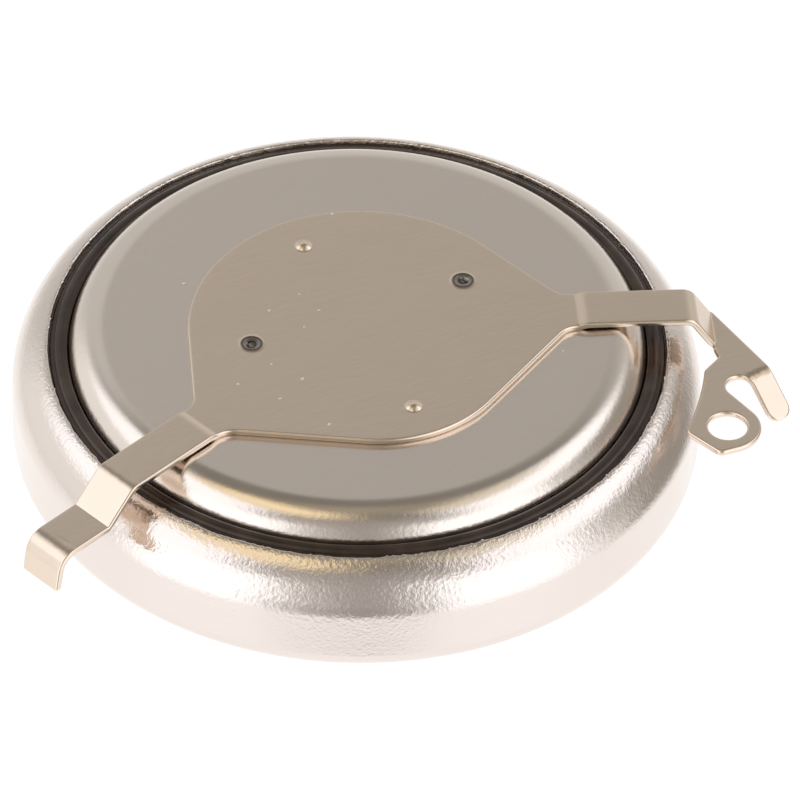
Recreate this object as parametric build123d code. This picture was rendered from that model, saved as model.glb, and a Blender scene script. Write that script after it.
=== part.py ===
from build123d import *
from math import acos, asin, atan2, cos, degrees, radians, sin, tan
import os

# Rechargeable coin cell of the size used behind watch movements, with a stamped terminal tab
# welded to its negative cap. The origin is on the cell's axis at the underside of the can,
# +Z points up out of the cap, and the tab is mirrored about the YZ plane except for its two ends.
# All lengths are in millimetres and all angles in degrees.

# Can: a drawn steel cup whose edge is rolled in over the gasket
CAN_DIAMETER = 9.50
CELL_HEIGHT = 2.05
CAN_WALL = 0.20
CAN_CORNER_RADIUS = 0.30
CRIMP_RADIUS = 0.80
CAP_PROUD = 0.34

# Bends in a turned section that are drawn as chords of their arc, to keep the facets few
FOOT_CHORDS = 3
INNER_BEND_CHORDS = 2
STEP_BEND_CHORDS = 1

# Cap: an inverted cup with a stepped skirt that the can's edge holds down
CAP_WALL = 0.18
CAP_SHOULDER_RADIUS = 0.50
CAP_STEP_WIDTH = 0.365
CAP_STEP_DROP = 0.53
CAP_BEND_RADIUS = 0.08
MOUTH_GAP = 0.285

# Gasket: a ring of J section between can and cap
GASKET_WALL = 0.20
GASKET_BASE = 0.20
GASKET_LIP_WALL = 0.25
GASKET_LIP_GAP = 0.15
GASKET_RECESS = 0.02

# Contents: two pressed electrodes, each on a conductive layer, with a separator between them
COLLECTOR_THICKNESS = 0.04
SEPARATOR_THICKNESS = 0.12
POSITIVE_CLEARANCE = 0.06
SEPARATOR_CLEARANCE = 0.02
NEGATIVE_CLEARANCE = 0.03

# Tab plate: rounded above and below, with tapering flanks that run into the two arms
TAB_THICKNESS = 0.10
PLATE_TOP_RADIUS = 2.40
PLATE_TOP_CENTRE_Y = -0.15
PLATE_TOP_TAPER = 21.0
PLATE_BOTTOM_RADIUS = 1.90
PLATE_BOTTOM_CENTRE_Y = -0.59
PLATE_BOTTOM_TAPER = 60.0
PLATE_FILLET_RADIUS = 0.36

# Tab arms: straight strips that leave the plate, rise clear of the cap and step down past the rim
ARM_WIDTH = 0.67
ARM_DROOP = 20.0
ARM_BEND_RADIUS = 0.12
JOGGLE_GAP = 0.01
JOGGLE_LENGTH = 0.09
JOGGLE_RISE = 0.03
STEP_INSET = 0.18

# Foot of the left arm: a flat landing and a turned-down end
FOOT_STEP_LENGTH = 0.46
FOOT_DROP = 0.43
FOOT_LENGTH = 0.84
FOOT_BEND_RADIUS = 0.20
TOE_LENGTH = 0.08
TOE_DROP = 0.48

# Lug of the right arm: a flat plate along the rim with a round eye and a turned-down finger
LUG_ARM_SAG = 0.03
LUG_STEP_LENGTH = 0.30
LUG_DROP = 0.48
LUG_LANDING = 0.08
RIM_GAP = 0.04
LUG_EDGE_ANGLE = -80.5
LUG_EDGE_LENGTH = 1.33
EYE_DISTANCE = 1.856
EYE_STANDOFF = 0.51
EYE_RADIUS = 0.46
EYE_HOLE_RADIUS = 0.27
EYE_CORNER_ANGLE = -127.0
EYE_CORNER_RADIUS = 0.55
HEEL_DISTANCE = 2.140
NECK_DISTANCE = 0.853
NECK_CORNER_RADIUS = 0.10
RELIEF_DEPTH = 0.18
RELIEF_DISTANCE = 0.577
SLOT_RADIUS = 0.205
SLOT_PAST_BEND = 0.08
FINGER_WIDTH = 0.36
FINGER_LENGTH = 0.70
FINGER_BEND = 36.0
FINGER_BEND_RADIUS = 0.10
FINGER_TIP_RADIUS = 0.17

# Marks on the plate: the pits of the two welds that hold it to the cap, and two pressed pips
WELD_SPACING = 3.20
WELD_OFFSET = 0.06
WELD_Y = 0.14
WELD_PIT_RADIUS = 0.10
WELD_PIT_DEPTH = 0.04
PIP_RADIUS = 0.12
PIP_HEIGHT = 0.05
PIP_X = -0.05
PIP_TOP_Y = 1.68
PIP_BOTTOM_Y = -1.91

# Sizes that follow from the ones above
can_radius = CAN_DIAMETER / 2
can_height = CELL_HEIGHT - CAP_PROUD
cavity_radius = can_radius - CAN_WALL
skirt_radius = cavity_radius - GASKET_WALL
cap_radius = skirt_radius - CAP_STEP_WIDTH
cap_flat_radius = cap_radius - CAP_SHOULDER_RADIUS
cap_bend_radius = min(CAP_BEND_RADIUS, 0.45 * (CAP_STEP_WIDTH - CAP_WALL))
cap_step_z = can_height - CAP_STEP_DROP
cap_ceiling_z = CELL_HEIGHT - CAP_WALL
skirt_end_z = CAN_WALL + GASKET_BASE
lip_top_z = cap_step_z - CAP_WALL - GASKET_LIP_GAP
mouth_radius = cap_radius + MOUTH_GAP
gasket_top_z = can_height - GASKET_RECESS
gasket_bore_radius = skirt_radius - CAP_WALL - GASKET_LIP_WALL
tab_z = CELL_HEIGHT
arm_z = tab_z + JOGGLE_RISE
rim_radius = can_radius + RIM_GAP
step_start = can_radius - STEP_INSET

# The rolled edge is an arc whose outer skin ends at the mouth, level with the top of the can
crimp_centre_r = can_radius - CRIMP_RADIUS
crimp_angle = degrees(acos((mouth_radius - crimp_centre_r) / CRIMP_RADIUS))
crimp_centre_z = can_height - CRIMP_RADIUS * sin(radians(crimp_angle))
crimp_centre = Vector(crimp_centre_r, crimp_centre_z)


def polar(radius, angle):
    """Point at a radius and an angle about the cell's axis."""
    return Vector(radius * cos(radians(angle)), radius * sin(radians(angle)))


def along_rim(distance, standoff):
    """Point outside the lug's rim, at a distance along that rim from the middle of the right arm."""
    return polar(rim_radius + standoff, -ARM_DROOP - degrees(distance / rim_radius))


def meeting_point(first, first_angle, second, second_angle):
    """Point where two lines meet, each given by a point on it and its direction."""
    along = polar(1, first_angle)
    across = polar(1, second_angle + 90)
    return first + along * ((second - first).dot(across) / along.dot(across))


def tangent_heading(start, centre, radius, side):
    """Direction of the line from start that touches a circle: side is 1 on its left, -1 on its right."""
    reach = centre - start
    return degrees(atan2(reach.Y, reach.X) + side * asin(radius / reach.length))


def arm_point(heading, distance, side):
    """Point on the edge of an arm: side is 1 on its left as seen from the axis, -1 on its right."""
    return polar(distance, heading) + polar(side * ARM_WIDTH / 2, heading + 90)


# The plate's flanks leave its round ends at a tangent, and their corners with the arm are filleted
top_centre = Vector(0, PLATE_TOP_CENTRE_Y)
bottom_centre = Vector(0, PLATE_BOTTOM_CENTRE_Y)
top_touch = top_centre + polar(PLATE_TOP_RADIUS, PLATE_TOP_TAPER)
bottom_touch = bottom_centre + polar(PLATE_BOTTOM_RADIUS, -PLATE_BOTTOM_TAPER)
upper_corner = meeting_point(top_touch, PLATE_TOP_TAPER - 90, arm_point(-ARM_DROOP, 0, 1), -ARM_DROOP)
lower_corner = meeting_point(bottom_touch, 90 - PLATE_BOTTOM_TAPER, arm_point(-ARM_DROOP, 0, -1), -ARM_DROOP)
upper_fillet = PLATE_FILLET_RADIUS * tan(radians(90 - PLATE_TOP_TAPER - ARM_DROOP) / 2)
lower_fillet = PLATE_FILLET_RADIUS * tan(radians(90 - PLATE_BOTTOM_TAPER + ARM_DROOP) / 2)
upper_reach = upper_corner.dot(polar(1, -ARM_DROOP)) + upper_fillet
lower_reach = lower_corner.dot(polar(1, -ARM_DROOP)) + lower_fillet
joggle_start = max(upper_reach, lower_reach) + JOGGLE_GAP


def box_section(inner_radius, outer_radius, low_z, high_z):
    """Rectangular section between two radii and two heights."""
    corners = [(inner_radius, low_z), (outer_radius, low_z), (outer_radius, high_z), (inner_radius, high_z)]
    return make_face(Polyline(*corners, close=True))


def turned(section):
    """Ring or disc made by turning a section about the cell's axis."""
    return revolve(Plane.XZ * section, axis=Axis.Z)


def bend_points(centre, radius, start_angle, arc, chords):
    """Points of a bend that is drawn as chords of its arc, both ends included."""
    return [centre + polar(radius, start_angle + arc * step / chords) for step in range(chords + 1)]


def can_outside():
    """Outer skin of the can, from the middle of its floor to the end of its rolled edge."""
    corner = Vector(can_radius - CAN_CORNER_RADIUS, CAN_CORNER_RADIUS)
    foot = bend_points(corner, CAN_CORNER_RADIUS, -90, 90, FOOT_CHORDS)
    roll = CenterArc(crimp_centre, CRIMP_RADIUS, 0, crimp_angle)
    return [Polyline((0, 0), *foot, roll @ 0), roll]


def can_inside():
    """Inner skin of the can, one wall inside the outer one, from the floor's middle to the lip."""
    corner = Vector(can_radius - CAN_CORNER_RADIUS, CAN_CORNER_RADIUS)
    foot = bend_points(corner, CAN_CORNER_RADIUS - CAN_WALL, -90, 90, STEP_BEND_CHORDS)
    roll = bend_points(crimp_centre, CRIMP_RADIUS - CAN_WALL, 0, crimp_angle, INNER_BEND_CHORDS)
    return Polyline((0, CAN_WALL), *foot, *roll)


def cap_skin(depth):
    """Skin of the cap at a depth into its wall, from below its shoulder to the skirt's end."""
    outer_bend = cap_bend_radius + CAP_WALL
    root = Vector(cap_radius + cap_bend_radius, cap_step_z + cap_bend_radius)
    edge = Vector(skirt_radius - outer_bend, cap_step_z - outer_bend)
    root_bend = bend_points(root, cap_bend_radius + depth, 180, 90, STEP_BEND_CHORDS)
    edge_bend = bend_points(edge, outer_bend - depth, 90, -90, STEP_BEND_CHORDS)
    return root_bend + edge_bend + [Vector(skirt_radius - depth, skirt_end_z)]


def cap_outside():
    """Outer skin of the cap, from the middle of its top to the skirt's end."""
    shoulder = CenterArc((cap_flat_radius, CELL_HEIGHT - CAP_SHOULDER_RADIUS), CAP_SHOULDER_RADIUS, 0, 90)
    return [Line((0, CELL_HEIGHT), shoulder @ 1), shoulder, Polyline(shoulder @ 0, *cap_skin(0))]


def cap_inside():
    """Inner skin of the cap, one wall inside the outer one."""
    shoulder = Vector(cap_flat_radius, CELL_HEIGHT - CAP_SHOULDER_RADIUS)
    bend = bend_points(shoulder, CAP_SHOULDER_RADIUS - CAP_WALL, 90, -90, INNER_BEND_CHORDS)
    return Polyline((0, cap_ceiling_z), *bend, *cap_skin(CAP_WALL))


def ring_face(outside, inside):
    """Section between two skins that both run from the axis to the sheet's cut end."""
    ends = [Line(outside[-1] @ 1, inside @ 1), Line(inside @ 0, outside[0] @ 0)]
    return make_face(outside + [inside] + ends)


def positive_can():
    """Drawn cup with a rounded foot and an edge rolled in over the gasket."""
    return turned(ring_face(can_outside(), can_inside()))


def negative_cap():
    """Inverted cup with a stepped skirt."""
    return turned(ring_face(cap_outside(), cap_inside()))


def sealing_gasket():
    """Ring that fills the space between can and cap, with a lip inside the cap's skirt."""
    cavity_skin = can_inside()
    lip_edge = can_outside()[-1] @ 1
    cavity = make_face([cavity_skin, Polyline(cavity_skin @ 1, lip_edge, (0, lip_edge.Y), (0, CAN_WALL))])
    cap_line = cap_outside()
    cap_end = cap_line[-1] @ 1
    cap_space = make_face(cap_line + [Polyline(cap_end, (0, cap_end.Y), (0, CELL_HEIGHT))])
    cap_space += box_section(0, cap_radius, lip_top_z, gasket_top_z)
    lip = box_section(gasket_bore_radius, skirt_radius - CAP_WALL, CAN_WALL, lip_top_z)
    room = box_section(gasket_bore_radius, can_radius, CAN_WALL, gasket_top_z)
    return turned((cavity & room) - cap_space + lip)


def disc(radius, low_z, high_z):
    """Disc about the cell's axis between two heights."""
    return Pos(0, 0, low_z) * extrude(Circle(radius), high_z - low_z)


def cell_contents():
    """Stack from the can's floor to the cap's ceiling, by node name. The separator is level with the gasket's lip."""
    positive_z = CAN_WALL + COLLECTOR_THICKNESS
    separator_z = lip_top_z - SEPARATOR_THICKNESS
    negative_top_z = cap_ceiling_z - COLLECTOR_THICKNESS
    positive_radius = gasket_bore_radius - POSITIVE_CLEARANCE
    separator_radius = gasket_bore_radius - SEPARATOR_CLEARANCE
    negative_radius = cap_flat_radius - NEGATIVE_CLEARANCE
    return {
        "positive_collector": disc(positive_radius, CAN_WALL, positive_z),
        "positive_electrode": disc(positive_radius, positive_z, separator_z),
        "separator": disc(separator_radius, separator_z, lip_top_z),
        "negative_electrode": disc(negative_radius, lip_top_z, negative_top_z),
        "negative_collector": disc(negative_radius, negative_top_z, cap_ceiling_z),
    }


def strip(origin, heading, points, bends, width):
    """Bent strip of sheet: its underside follows points of distance and height along a heading."""
    across = Plane(origin=origin, x_dir=(cos(radians(heading)), sin(radians(heading)), 0),
                   z_dir=(sin(radians(heading)), -cos(radians(heading)), 0))
    underside = Wire(FilletPolyline(*points, radius=bends).edges())
    section = Face(underside.offset_2d(TAB_THICKNESS, side=Side.LEFT, closed=True))
    return extrude(across * section, width / 2, both=True)


def plate_outline():
    """Outline of the flat plate with the roots of both arms."""
    upper_end = arm_point(-ARM_DROOP, joggle_start, 1)
    lower_end = arm_point(-ARM_DROOP, joggle_start, -1)
    corners = [top_touch, upper_corner, upper_end, lower_end, lower_corner, bottom_touch]
    bends = [PLATE_FILLET_RADIUS, 0, 0, PLATE_FILLET_RADIUS]
    right = FilletPolyline(*corners, radius=bends)
    left = mirror(right, Plane.YZ)
    top = CenterArc(top_centre, PLATE_TOP_RADIUS, PLATE_TOP_TAPER, 180 - 2 * PLATE_TOP_TAPER)
    bottom = CenterArc(bottom_centre, PLATE_BOTTOM_RADIUS, 180 + PLATE_BOTTOM_TAPER,
                       180 - 2 * PLATE_BOTTOM_TAPER)
    return make_face([top, right, bottom] + left.edges())


def left_arm():
    """Arm that lands on a flat foot and turns down at its end."""
    foot_start = step_start + FOOT_STEP_LENGTH
    foot_end = foot_start + FOOT_LENGTH
    foot_z = arm_z - FOOT_DROP
    points = [
        (joggle_start - ARM_WIDTH, tab_z),
        (joggle_start, tab_z),
        (joggle_start + JOGGLE_LENGTH, arm_z),
        (step_start, arm_z),
        (foot_start, foot_z),
        (foot_end, foot_z),
        (foot_end + TOE_LENGTH, foot_z - TOE_DROP),
    ]
    bends = [JOGGLE_RISE, JOGGLE_RISE, ARM_BEND_RADIUS, ARM_BEND_RADIUS, FOOT_BEND_RADIUS]
    return strip((0, 0, 0), 180 + ARM_DROOP, points, bends, ARM_WIDTH)


def right_arm(lug_start):
    """Arm that steps down to the level of the lug."""
    points = [
        (joggle_start - ARM_WIDTH, tab_z),
        (joggle_start, tab_z),
        (joggle_start + JOGGLE_LENGTH, arm_z),
        (step_start, arm_z - LUG_ARM_SAG),
        (lug_start, arm_z - LUG_DROP),
        (lug_start + LUG_LANDING, arm_z - LUG_DROP),
    ]
    bends = [JOGGLE_RISE, JOGGLE_RISE, ARM_BEND_RADIUS, ARM_BEND_RADIUS]
    return strip((0, 0, 0), -ARM_DROOP, points, bends, ARM_WIDTH)


def lug_outline(lug_start):
    """Outline of the lug: along its outer edge, round the slot and the eye, and back along the rim."""
    arm_upper = arm_point(-ARM_DROOP, lug_start, 1)
    arm_lower = arm_point(-ARM_DROOP, lug_start, -1)
    edge_start = arm_upper + polar(LUG_LANDING, -ARM_DROOP)
    edge_end = edge_start + polar(LUG_EDGE_LENGTH, LUG_EDGE_ANGLE)
    finger_root = edge_end - polar(FINGER_WIDTH, LUG_EDGE_ANGLE + 90)
    slot_side = finger_root - polar(SLOT_PAST_BEND - SLOT_RADIUS, LUG_EDGE_ANGLE)
    slot_centre = slot_side - polar(SLOT_RADIUS, LUG_EDGE_ANGLE + 90)
    eye_centre = along_rim(EYE_DISTANCE, EYE_STANDOFF)
    neck_heading = tangent_heading(slot_centre, eye_centre, SLOT_RADIUS + EYE_RADIUS, 1)
    eye_corner = eye_centre + polar(EYE_CORNER_RADIUS, EYE_CORNER_ANGLE)
    corner_heading = tangent_heading(eye_corner, eye_centre, EYE_RADIUS, -1)
    heel = along_rim(HEEL_DISTANCE, 0)
    neck_corner = along_rim(NECK_DISTANCE, 0)
    relief = along_rim(RELIEF_DISTANCE, RELIEF_DEPTH)
    slot_end = CenterArc(slot_centre, SLOT_RADIUS, LUG_EDGE_ANGLE + 90, neck_heading + 180 - LUG_EDGE_ANGLE)
    eye_end = CenterArc(eye_centre, EYE_RADIUS, neck_heading + 90, corner_heading - neck_heading - 180)
    sides = FilletPolyline(eye_corner, heel, neck_corner, relief, arm_lower, arm_upper, edge_start,
                           edge_end, finger_root, slot_side,
                           radius=[0, NECK_CORNER_RADIUS, 0, 0, 0, 0, 0, 0])
    outline = [sides, slot_end, Line(slot_end @ 1, eye_end @ 0), eye_end, Line(eye_end @ 1, eye_corner)]
    return make_face(outline) - Circle(rim_radius) - Pos(eye_centre) * Circle(EYE_HOLE_RADIUS)


def lug():
    """Right arm with its flat plate beside the rim, a round eye, a slot and a bent finger."""
    lug_start = step_start + LUG_STEP_LENGTH
    lug_z = arm_z - LUG_DROP
    flat = Pos(0, 0, lug_z) * extrude(lug_outline(lug_start), TAB_THICKNESS)
    edge_end = arm_point(-ARM_DROOP, lug_start + LUG_LANDING, 1) + polar(LUG_EDGE_LENGTH, LUG_EDGE_ANGLE)
    finger_root = edge_end - polar(FINGER_WIDTH / 2, LUG_EDGE_ANGLE + 90)
    return right_arm(lug_start) + flat + finger(finger_root, lug_z)


def finger(root, root_z):
    """Finger that leaves the lug's edge and slopes down to a rounded tip."""
    slope = radians(FINGER_BEND)
    points = [
        (-FINGER_WIDTH / 2, root_z),
        (0, root_z),
        (FINGER_LENGTH * cos(slope), root_z - FINGER_LENGTH * sin(slope)),
    ]
    blank = strip(root, LUG_EDGE_ANGLE, points, [FINGER_BEND_RADIUS], FINGER_WIDTH)
    tip = root + polar(FINGER_LENGTH * cos(slope), LUG_EDGE_ANGLE)
    tip_height = root_z - FINGER_LENGTH * sin(slope)
    corner_edges = [edge for edge in blank.edges() if abs(edge.length - TAB_THICKNESS) < 0.001]
    corner_edges.sort(key=lambda edge: (edge @ 0.5 - Vector(tip.X, tip.Y, tip_height)).length)
    return fillet(corner_edges[:2], FINGER_TIP_RADIUS)


def weld_pits():
    """Conical pits that the two spot welds leave in the plate."""
    pit = Pos(0, 0, tab_z + TAB_THICKNESS - WELD_PIT_DEPTH / 2) * Cone(0, WELD_PIT_RADIUS, WELD_PIT_DEPTH)
    return [Pos(WELD_OFFSET + side * WELD_SPACING / 2, WELD_Y, 0) * pit for side in (-1, 1)]


def pips():
    """Two low domes pressed up out of the plate."""
    sphere_radius = (PIP_RADIUS ** 2 + PIP_HEIGHT ** 2) / (2 * PIP_HEIGHT)
    top_z = tab_z + TAB_THICKNESS
    domes = []
    for pip_y in (PIP_TOP_Y, PIP_BOTTOM_Y):
        ball = Pos(PIP_X, pip_y, top_z + PIP_HEIGHT - sphere_radius) * Sphere(sphere_radius)
        domes.append(ball & Pos(PIP_X, pip_y, 0) * disc(PIP_RADIUS, tab_z, top_z + PIP_HEIGHT))
    return domes


def terminal_tab():
    """One stamped and bent strip: plate, two arms, foot and lug."""
    plate = Pos(0, 0, tab_z) * extrude(plate_outline(), TAB_THICKNESS)
    tab = plate + left_arm() + lug()
    for pip in pips():
        tab += pip
    for pit in weld_pits():
        tab -= pit
    return tab


nodes = {
    "positive_can": positive_can(),
    "sealing_gasket": sealing_gasket(),
    "negative_cap": negative_cap(),
    "terminal_tab": terminal_tab(),
    **cell_contents(),
}

os.makedirs("parts", exist_ok=True)
for name, node in nodes.items():
    node.label = name
    export_step(node, f"parts/{name}.step")
    print(name, "volume", round(node.volume, 4), "solids", len(node.solids()))
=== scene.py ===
"""Looks of a tabbed coin cell capacitor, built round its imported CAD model.

Shape functions work in millimetres and degrees, in the frame of the CAD model: the cell's axis is Z,
and its underside is at zero height. Meshes are stored in metres.
"""
from math import acos, asin, atan2, cos, degrees, pi, radians, sin, tan
from types import SimpleNamespace

import bpy
import numpy as np
from bpy.props import FloatProperty, FloatVectorProperty, PointerProperty
from mathutils import Matrix, Vector
from mathutils.geometry import delaunay_2d_cdt


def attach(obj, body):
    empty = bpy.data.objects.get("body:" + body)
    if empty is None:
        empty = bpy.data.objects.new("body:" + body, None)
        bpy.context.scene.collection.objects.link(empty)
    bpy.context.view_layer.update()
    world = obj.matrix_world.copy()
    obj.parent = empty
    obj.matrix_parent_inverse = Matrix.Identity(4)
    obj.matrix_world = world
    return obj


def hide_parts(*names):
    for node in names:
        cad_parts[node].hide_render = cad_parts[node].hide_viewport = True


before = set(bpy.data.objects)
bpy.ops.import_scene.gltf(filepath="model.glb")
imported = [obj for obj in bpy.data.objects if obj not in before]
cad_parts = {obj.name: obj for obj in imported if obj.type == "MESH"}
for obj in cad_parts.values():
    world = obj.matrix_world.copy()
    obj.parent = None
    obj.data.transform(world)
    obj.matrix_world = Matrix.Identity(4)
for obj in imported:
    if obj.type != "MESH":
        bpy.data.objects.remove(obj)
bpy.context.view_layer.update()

bl_info = {
    "name": "Tabbed Coin Cell Capacitor",
    "version": (1, 0, 0),
    "blender": (4, 5, 0),
    "location": "3D View > Sidebar > Coin Cell",
    "description": "Builds the detailed can, gasket, cap and terminal tab of a coin cell capacitor",
    "category": "Add Mesh",
}

# Millimetres in a metre
METRE = 1000
# Sides of a loop shorter than this are dropped, and points of the blank closer than this are one, in
# millimetres
LEAST_SIDE, SAME_PLACE = 1e-5, 1e-7
# Least cosine between a corner's miter and its sides' normals, so that no miter grows long
LEAST_COSINE = 0.5


def linear_colour(hex_code):
    """Linear red, green and blue of an sRGB hex colour, by the two-part curve of the sRGB standard."""
    parts = [int(hex_code[start:start + 2], 16) / 255 for start in (0, 2, 4)]
    return [part / 12.92 if part <= 0.04045 else ((part + 0.055) / 1.055) ** 2.4 for part in parts]


def length(label, description, millimetres):
    """Property that holds a length, given in millimetres and kept in metres."""
    return FloatProperty(name=label, description=description, default=millimetres / METRE,
                         unit="LENGTH", precision=5)


def angle(label, description, in_degrees):
    """Property that holds an angle, given in degrees and kept in radians."""
    return FloatProperty(name=label, description=description, default=radians(in_degrees),
                         subtype="ANGLE", unit="ROTATION")


def colour(label, description, hex_code):
    """Property that holds a colour, given as sRGB hex and kept linear."""
    return FloatVectorProperty(name=label, description=description, default=linear_colour(hex_code),
                               subtype="COLOR", size=3, min=0, max=1)


class CellSizes(bpy.types.PropertyGroup):
    """Sizes of the round cell."""

    can_diameter: length("Can diameter", "Diameter over the can's side", 9.50)
    cell_height: length("Cell height", "From the can's underside to the cap's top", 2.05)
    can_wall: length("Can wall", "Thickness of the can's sheet", 0.20)
    can_corner_radius: length("Foot radius", "Radius of the bend at the can's foot", 0.30)
    crimp_radius: length("Roll radius", "Outer radius of the can's rolled edge", 0.80)
    cap_proud: length("Cap proud", "Height of the cap's top above the can's edge", 0.34)
    lip_rounding: length("Lip rounding", "Radius of the two edges of the can's cut lip", 0.03)
    lip_burr: length("Lip burr", "Height of the ragged burr along the can's lip", 0.042)
    cap_wall: length("Cap wall", "Thickness of the cap's sheet", 0.18)
    cap_shoulder_radius: length("Shoulder radius", "Radius of the bend round the cap's top", 0.50)
    cap_step_width: length("Skirt step", "How far the cap's skirt steps out", 0.365)
    cap_step_drop: length("Skirt depth", "Depth of the skirt's step below the can's edge", 0.53)
    cap_bend_radius: length("Skirt bend", "Inner radius of the skirt's bends", 0.08)
    mouth_gap: length("Mouth gap", "Width of the ring seen between cap and can", 0.285)
    gasket_wall: length("Gasket wall", "Gasket between skirt and can", 0.20)
    gasket_base: length("Gasket base", "Gasket between skirt and floor", 0.20)
    gasket_lip_wall: length("Gasket lip", "Thickness of the gasket's inner lip", 0.25)
    gasket_lip_gap: length("Gasket lip gap", "Room between the inner lip and the cap's step", 0.15)
    gasket_recess: length("Gasket recess", "Depth of the gasket's top below the can's edge", 0.02)


class TabSizes(bpy.types.PropertyGroup):
    """Sizes of the formed terminal tab."""

    thickness: length("Thickness", "Thickness of the strip", 0.10)
    top_rounding: length("Sheared edge", "Radius of the edge that the punch rolls over", 0.030)
    bottom_rounding: length("Lower edge", "Radius of the undercut edge against the cap", 0.035)
    plate_top_radius: length("Top radius", "Radius of the plate's far end", 2.40)
    plate_top_y: length("Top centre", "Place of that radius's centre", -0.15)
    plate_top_taper: angle("Top taper", "Lean of the plate's far flanks", 21)
    plate_bottom_radius: length("Bottom radius", "Radius of the plate's near end", 1.90)
    plate_bottom_y: length("Bottom centre", "Place of that radius's centre", -0.59)
    plate_bottom_taper: angle("Bottom taper", "Lean of the plate's near flanks", 60)
    plate_fillet_radius: length("Fillet", "Radius between plate and arms", 0.36)
    arm_width: length("Arm width", "Width of both arms", 0.67)
    arm_droop: angle("Arm droop", "How far both arms lean from the plate's middle line", 20)
    arm_bend_radius: length("Arm bend", "Radius of the arms' bends", 0.12)
    joggle_length: length("Joggle length", "Run of the small step where each arm leaves the cap", 0.09)
    joggle_rise: length("Joggle rise", "Rise of that step", 0.03)
    joggle_radius: length("Joggle radius", "Radius of its two bends", 0.25)
    step_inset: length("Step inset", "How far inside the can's side the arms turn down", 0.18)
    foot_step_length: length("Foot step", "Run of the slope down to the foot", 0.46)
    foot_drop: length("Foot drop", "Fall of the slope down to the foot", 0.43)
    foot_length: length("Foot length", "Length of the flat foot", 0.84)
    foot_bend_radius: length("Toe bend", "Radius between foot and toe", 0.20)
    crease_place: length("Crease place", "Distance of the foot's crease from the toe's end", 0.63)
    crease_depth: length("Crease depth", "Depth of the crease across the foot", 0.006)
    toe_length: length("Toe run", "Run of the turned-down toe", 0.08)
    toe_drop: length("Toe drop", "Fall of the turned-down toe", 0.48)
    lug_arm_sag: length("Lug arm sag", "Fall of the right arm before its step", 0.03)
    lug_step_length: length("Lug step", "Run of the slope down to the lug", 0.30)
    lug_drop: length("Lug drop", "Fall of the slope down to the lug", 0.48)
    lug_landing: length("Lug landing", "Flat run at the end of the right arm", 0.08)
    lug_bend_radius: length("Lug bend", "Radius of the bend between slope and lug", 0.145)
    rim_gap: length("Rim gap", "Gap between the can's side and the lug's rim", 0.04)
    lug_edge_angle: angle("Lug edge", "Direction of the lug's outer edge", -80.5)
    lug_edge_length: length("Lug edge length", "Length of the lug's outer edge", 1.33)
    eye_distance: length("Eye distance", "Place of the eye along the rim", 1.856)
    eye_standoff: length("Eye standoff", "Distance of the eye's centre from the rim", 0.51)
    eye_radius: length("Eye radius", "Outer radius of the eye", 0.46)
    eye_hole_radius: length("Eye hole", "Radius of the eye's hole", 0.27)
    eye_corner_angle: angle("Eye corner", "Direction of the corner beside the eye", -127)
    eye_corner_radius: length("Eye corner reach", "Distance of that corner from the eye's centre", 0.55)
    heel_distance: length("Heel", "Place of the lug's far end along the rim", 2.140)
    neck_distance: length("Neck", "Place of the neck's corner along the rim", 0.853)
    neck_corner_radius: length("Neck corner", "Radius of that corner", 0.10)
    relief_depth: length("Relief depth", "Depth of the notch beside the arm", 0.18)
    relief_distance: length("Relief place", "Place of the notch along the rim", 0.577)
    slot_radius: length("Slot radius", "Radius of the slot's round end", 0.205)
    slot_past_bend: length("Slot depth", "How far the slot runs past the finger's bend", 0.08)
    finger_width: length("Finger width", "Width of the bent finger", 0.36)
    finger_length: length("Finger length", "Length of the bent finger", 0.70)
    finger_bend: angle("Finger bend", "How far the finger is bent down", 36)
    finger_bend_radius: length("Finger radius", "Radius of that bend", 0.10)
    finger_tip_radius: length("Finger tip", "Corner radius of the finger's tip", 0.17)
    weld_spacing: length("Weld spacing", "Distance between the two spot welds", 3.20)
    weld_offset: length("Weld offset", "Shift of both welds to the right", 0.06)
    weld_y: length("Weld place", "Place of both welds across the plate", 0.14)
    weld_radius: length("Weld bead", "Radius of the raised bead round a weld", 0.135)
    pip_radius: length("Pip radius", "Radius of the two pressed pips", 0.12)
    pip_height: length("Pip height", "Height of the two pressed pips", 0.048)
    pip_x: length("Pip x", "Place of both pips across the plate", -0.05)
    pip_top_y: length("Far pip", "Place of the far pip", 1.68)
    pip_bottom_y: length("Near pip", "Place of the near pip", -1.91)


class Finishes(bpy.types.PropertyGroup):
    """Colours of the surfaces."""

    can_plating: colour("Can", "Nickel plating on the can", "E9E0DB")
    cap_plating: colour("Cap", "Nickel plating on the cap", "E9E0D9")
    strip_metal: colour("Tab", "Rolled nickel strip of the tab", "E9DACA")
    weld_tint: colour("Weld", "Heat tint round the welds", "8C8C84")
    gasket_plastic: colour("Gasket", "Moulded plastic of the gasket", "3B2E28")
    carbon: colour("Collectors", "Conductive carbon paint", "2A2A2C")
    powder: colour("Electrodes", "Pressed electrode powder", "3A3836")
    fibre: colour("Separator", "Glass-fibre paper", "E4E1DA")
    dust: colour("Dust", "Specks of lint on the tab", "E9E3D9")
    floor: colour("Floor", "Studio floor", "FFFFFF")


# Shapes in the plane


def polar(radius, direction):
    """Point at a radius and a direction from the origin: radius times cosine and sine."""
    return radius * np.array([cos(radians(direction)), sin(radians(direction))])


def arc(centre, radius, start, end, count):
    """Points of an arc: its centre plus the radius times cosine and sine of evenly spaced directions."""
    turn = np.radians(np.linspace(start, end, count))
    return np.asarray(centre) + radius * np.column_stack([np.cos(turn), np.sin(turn)])


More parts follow.
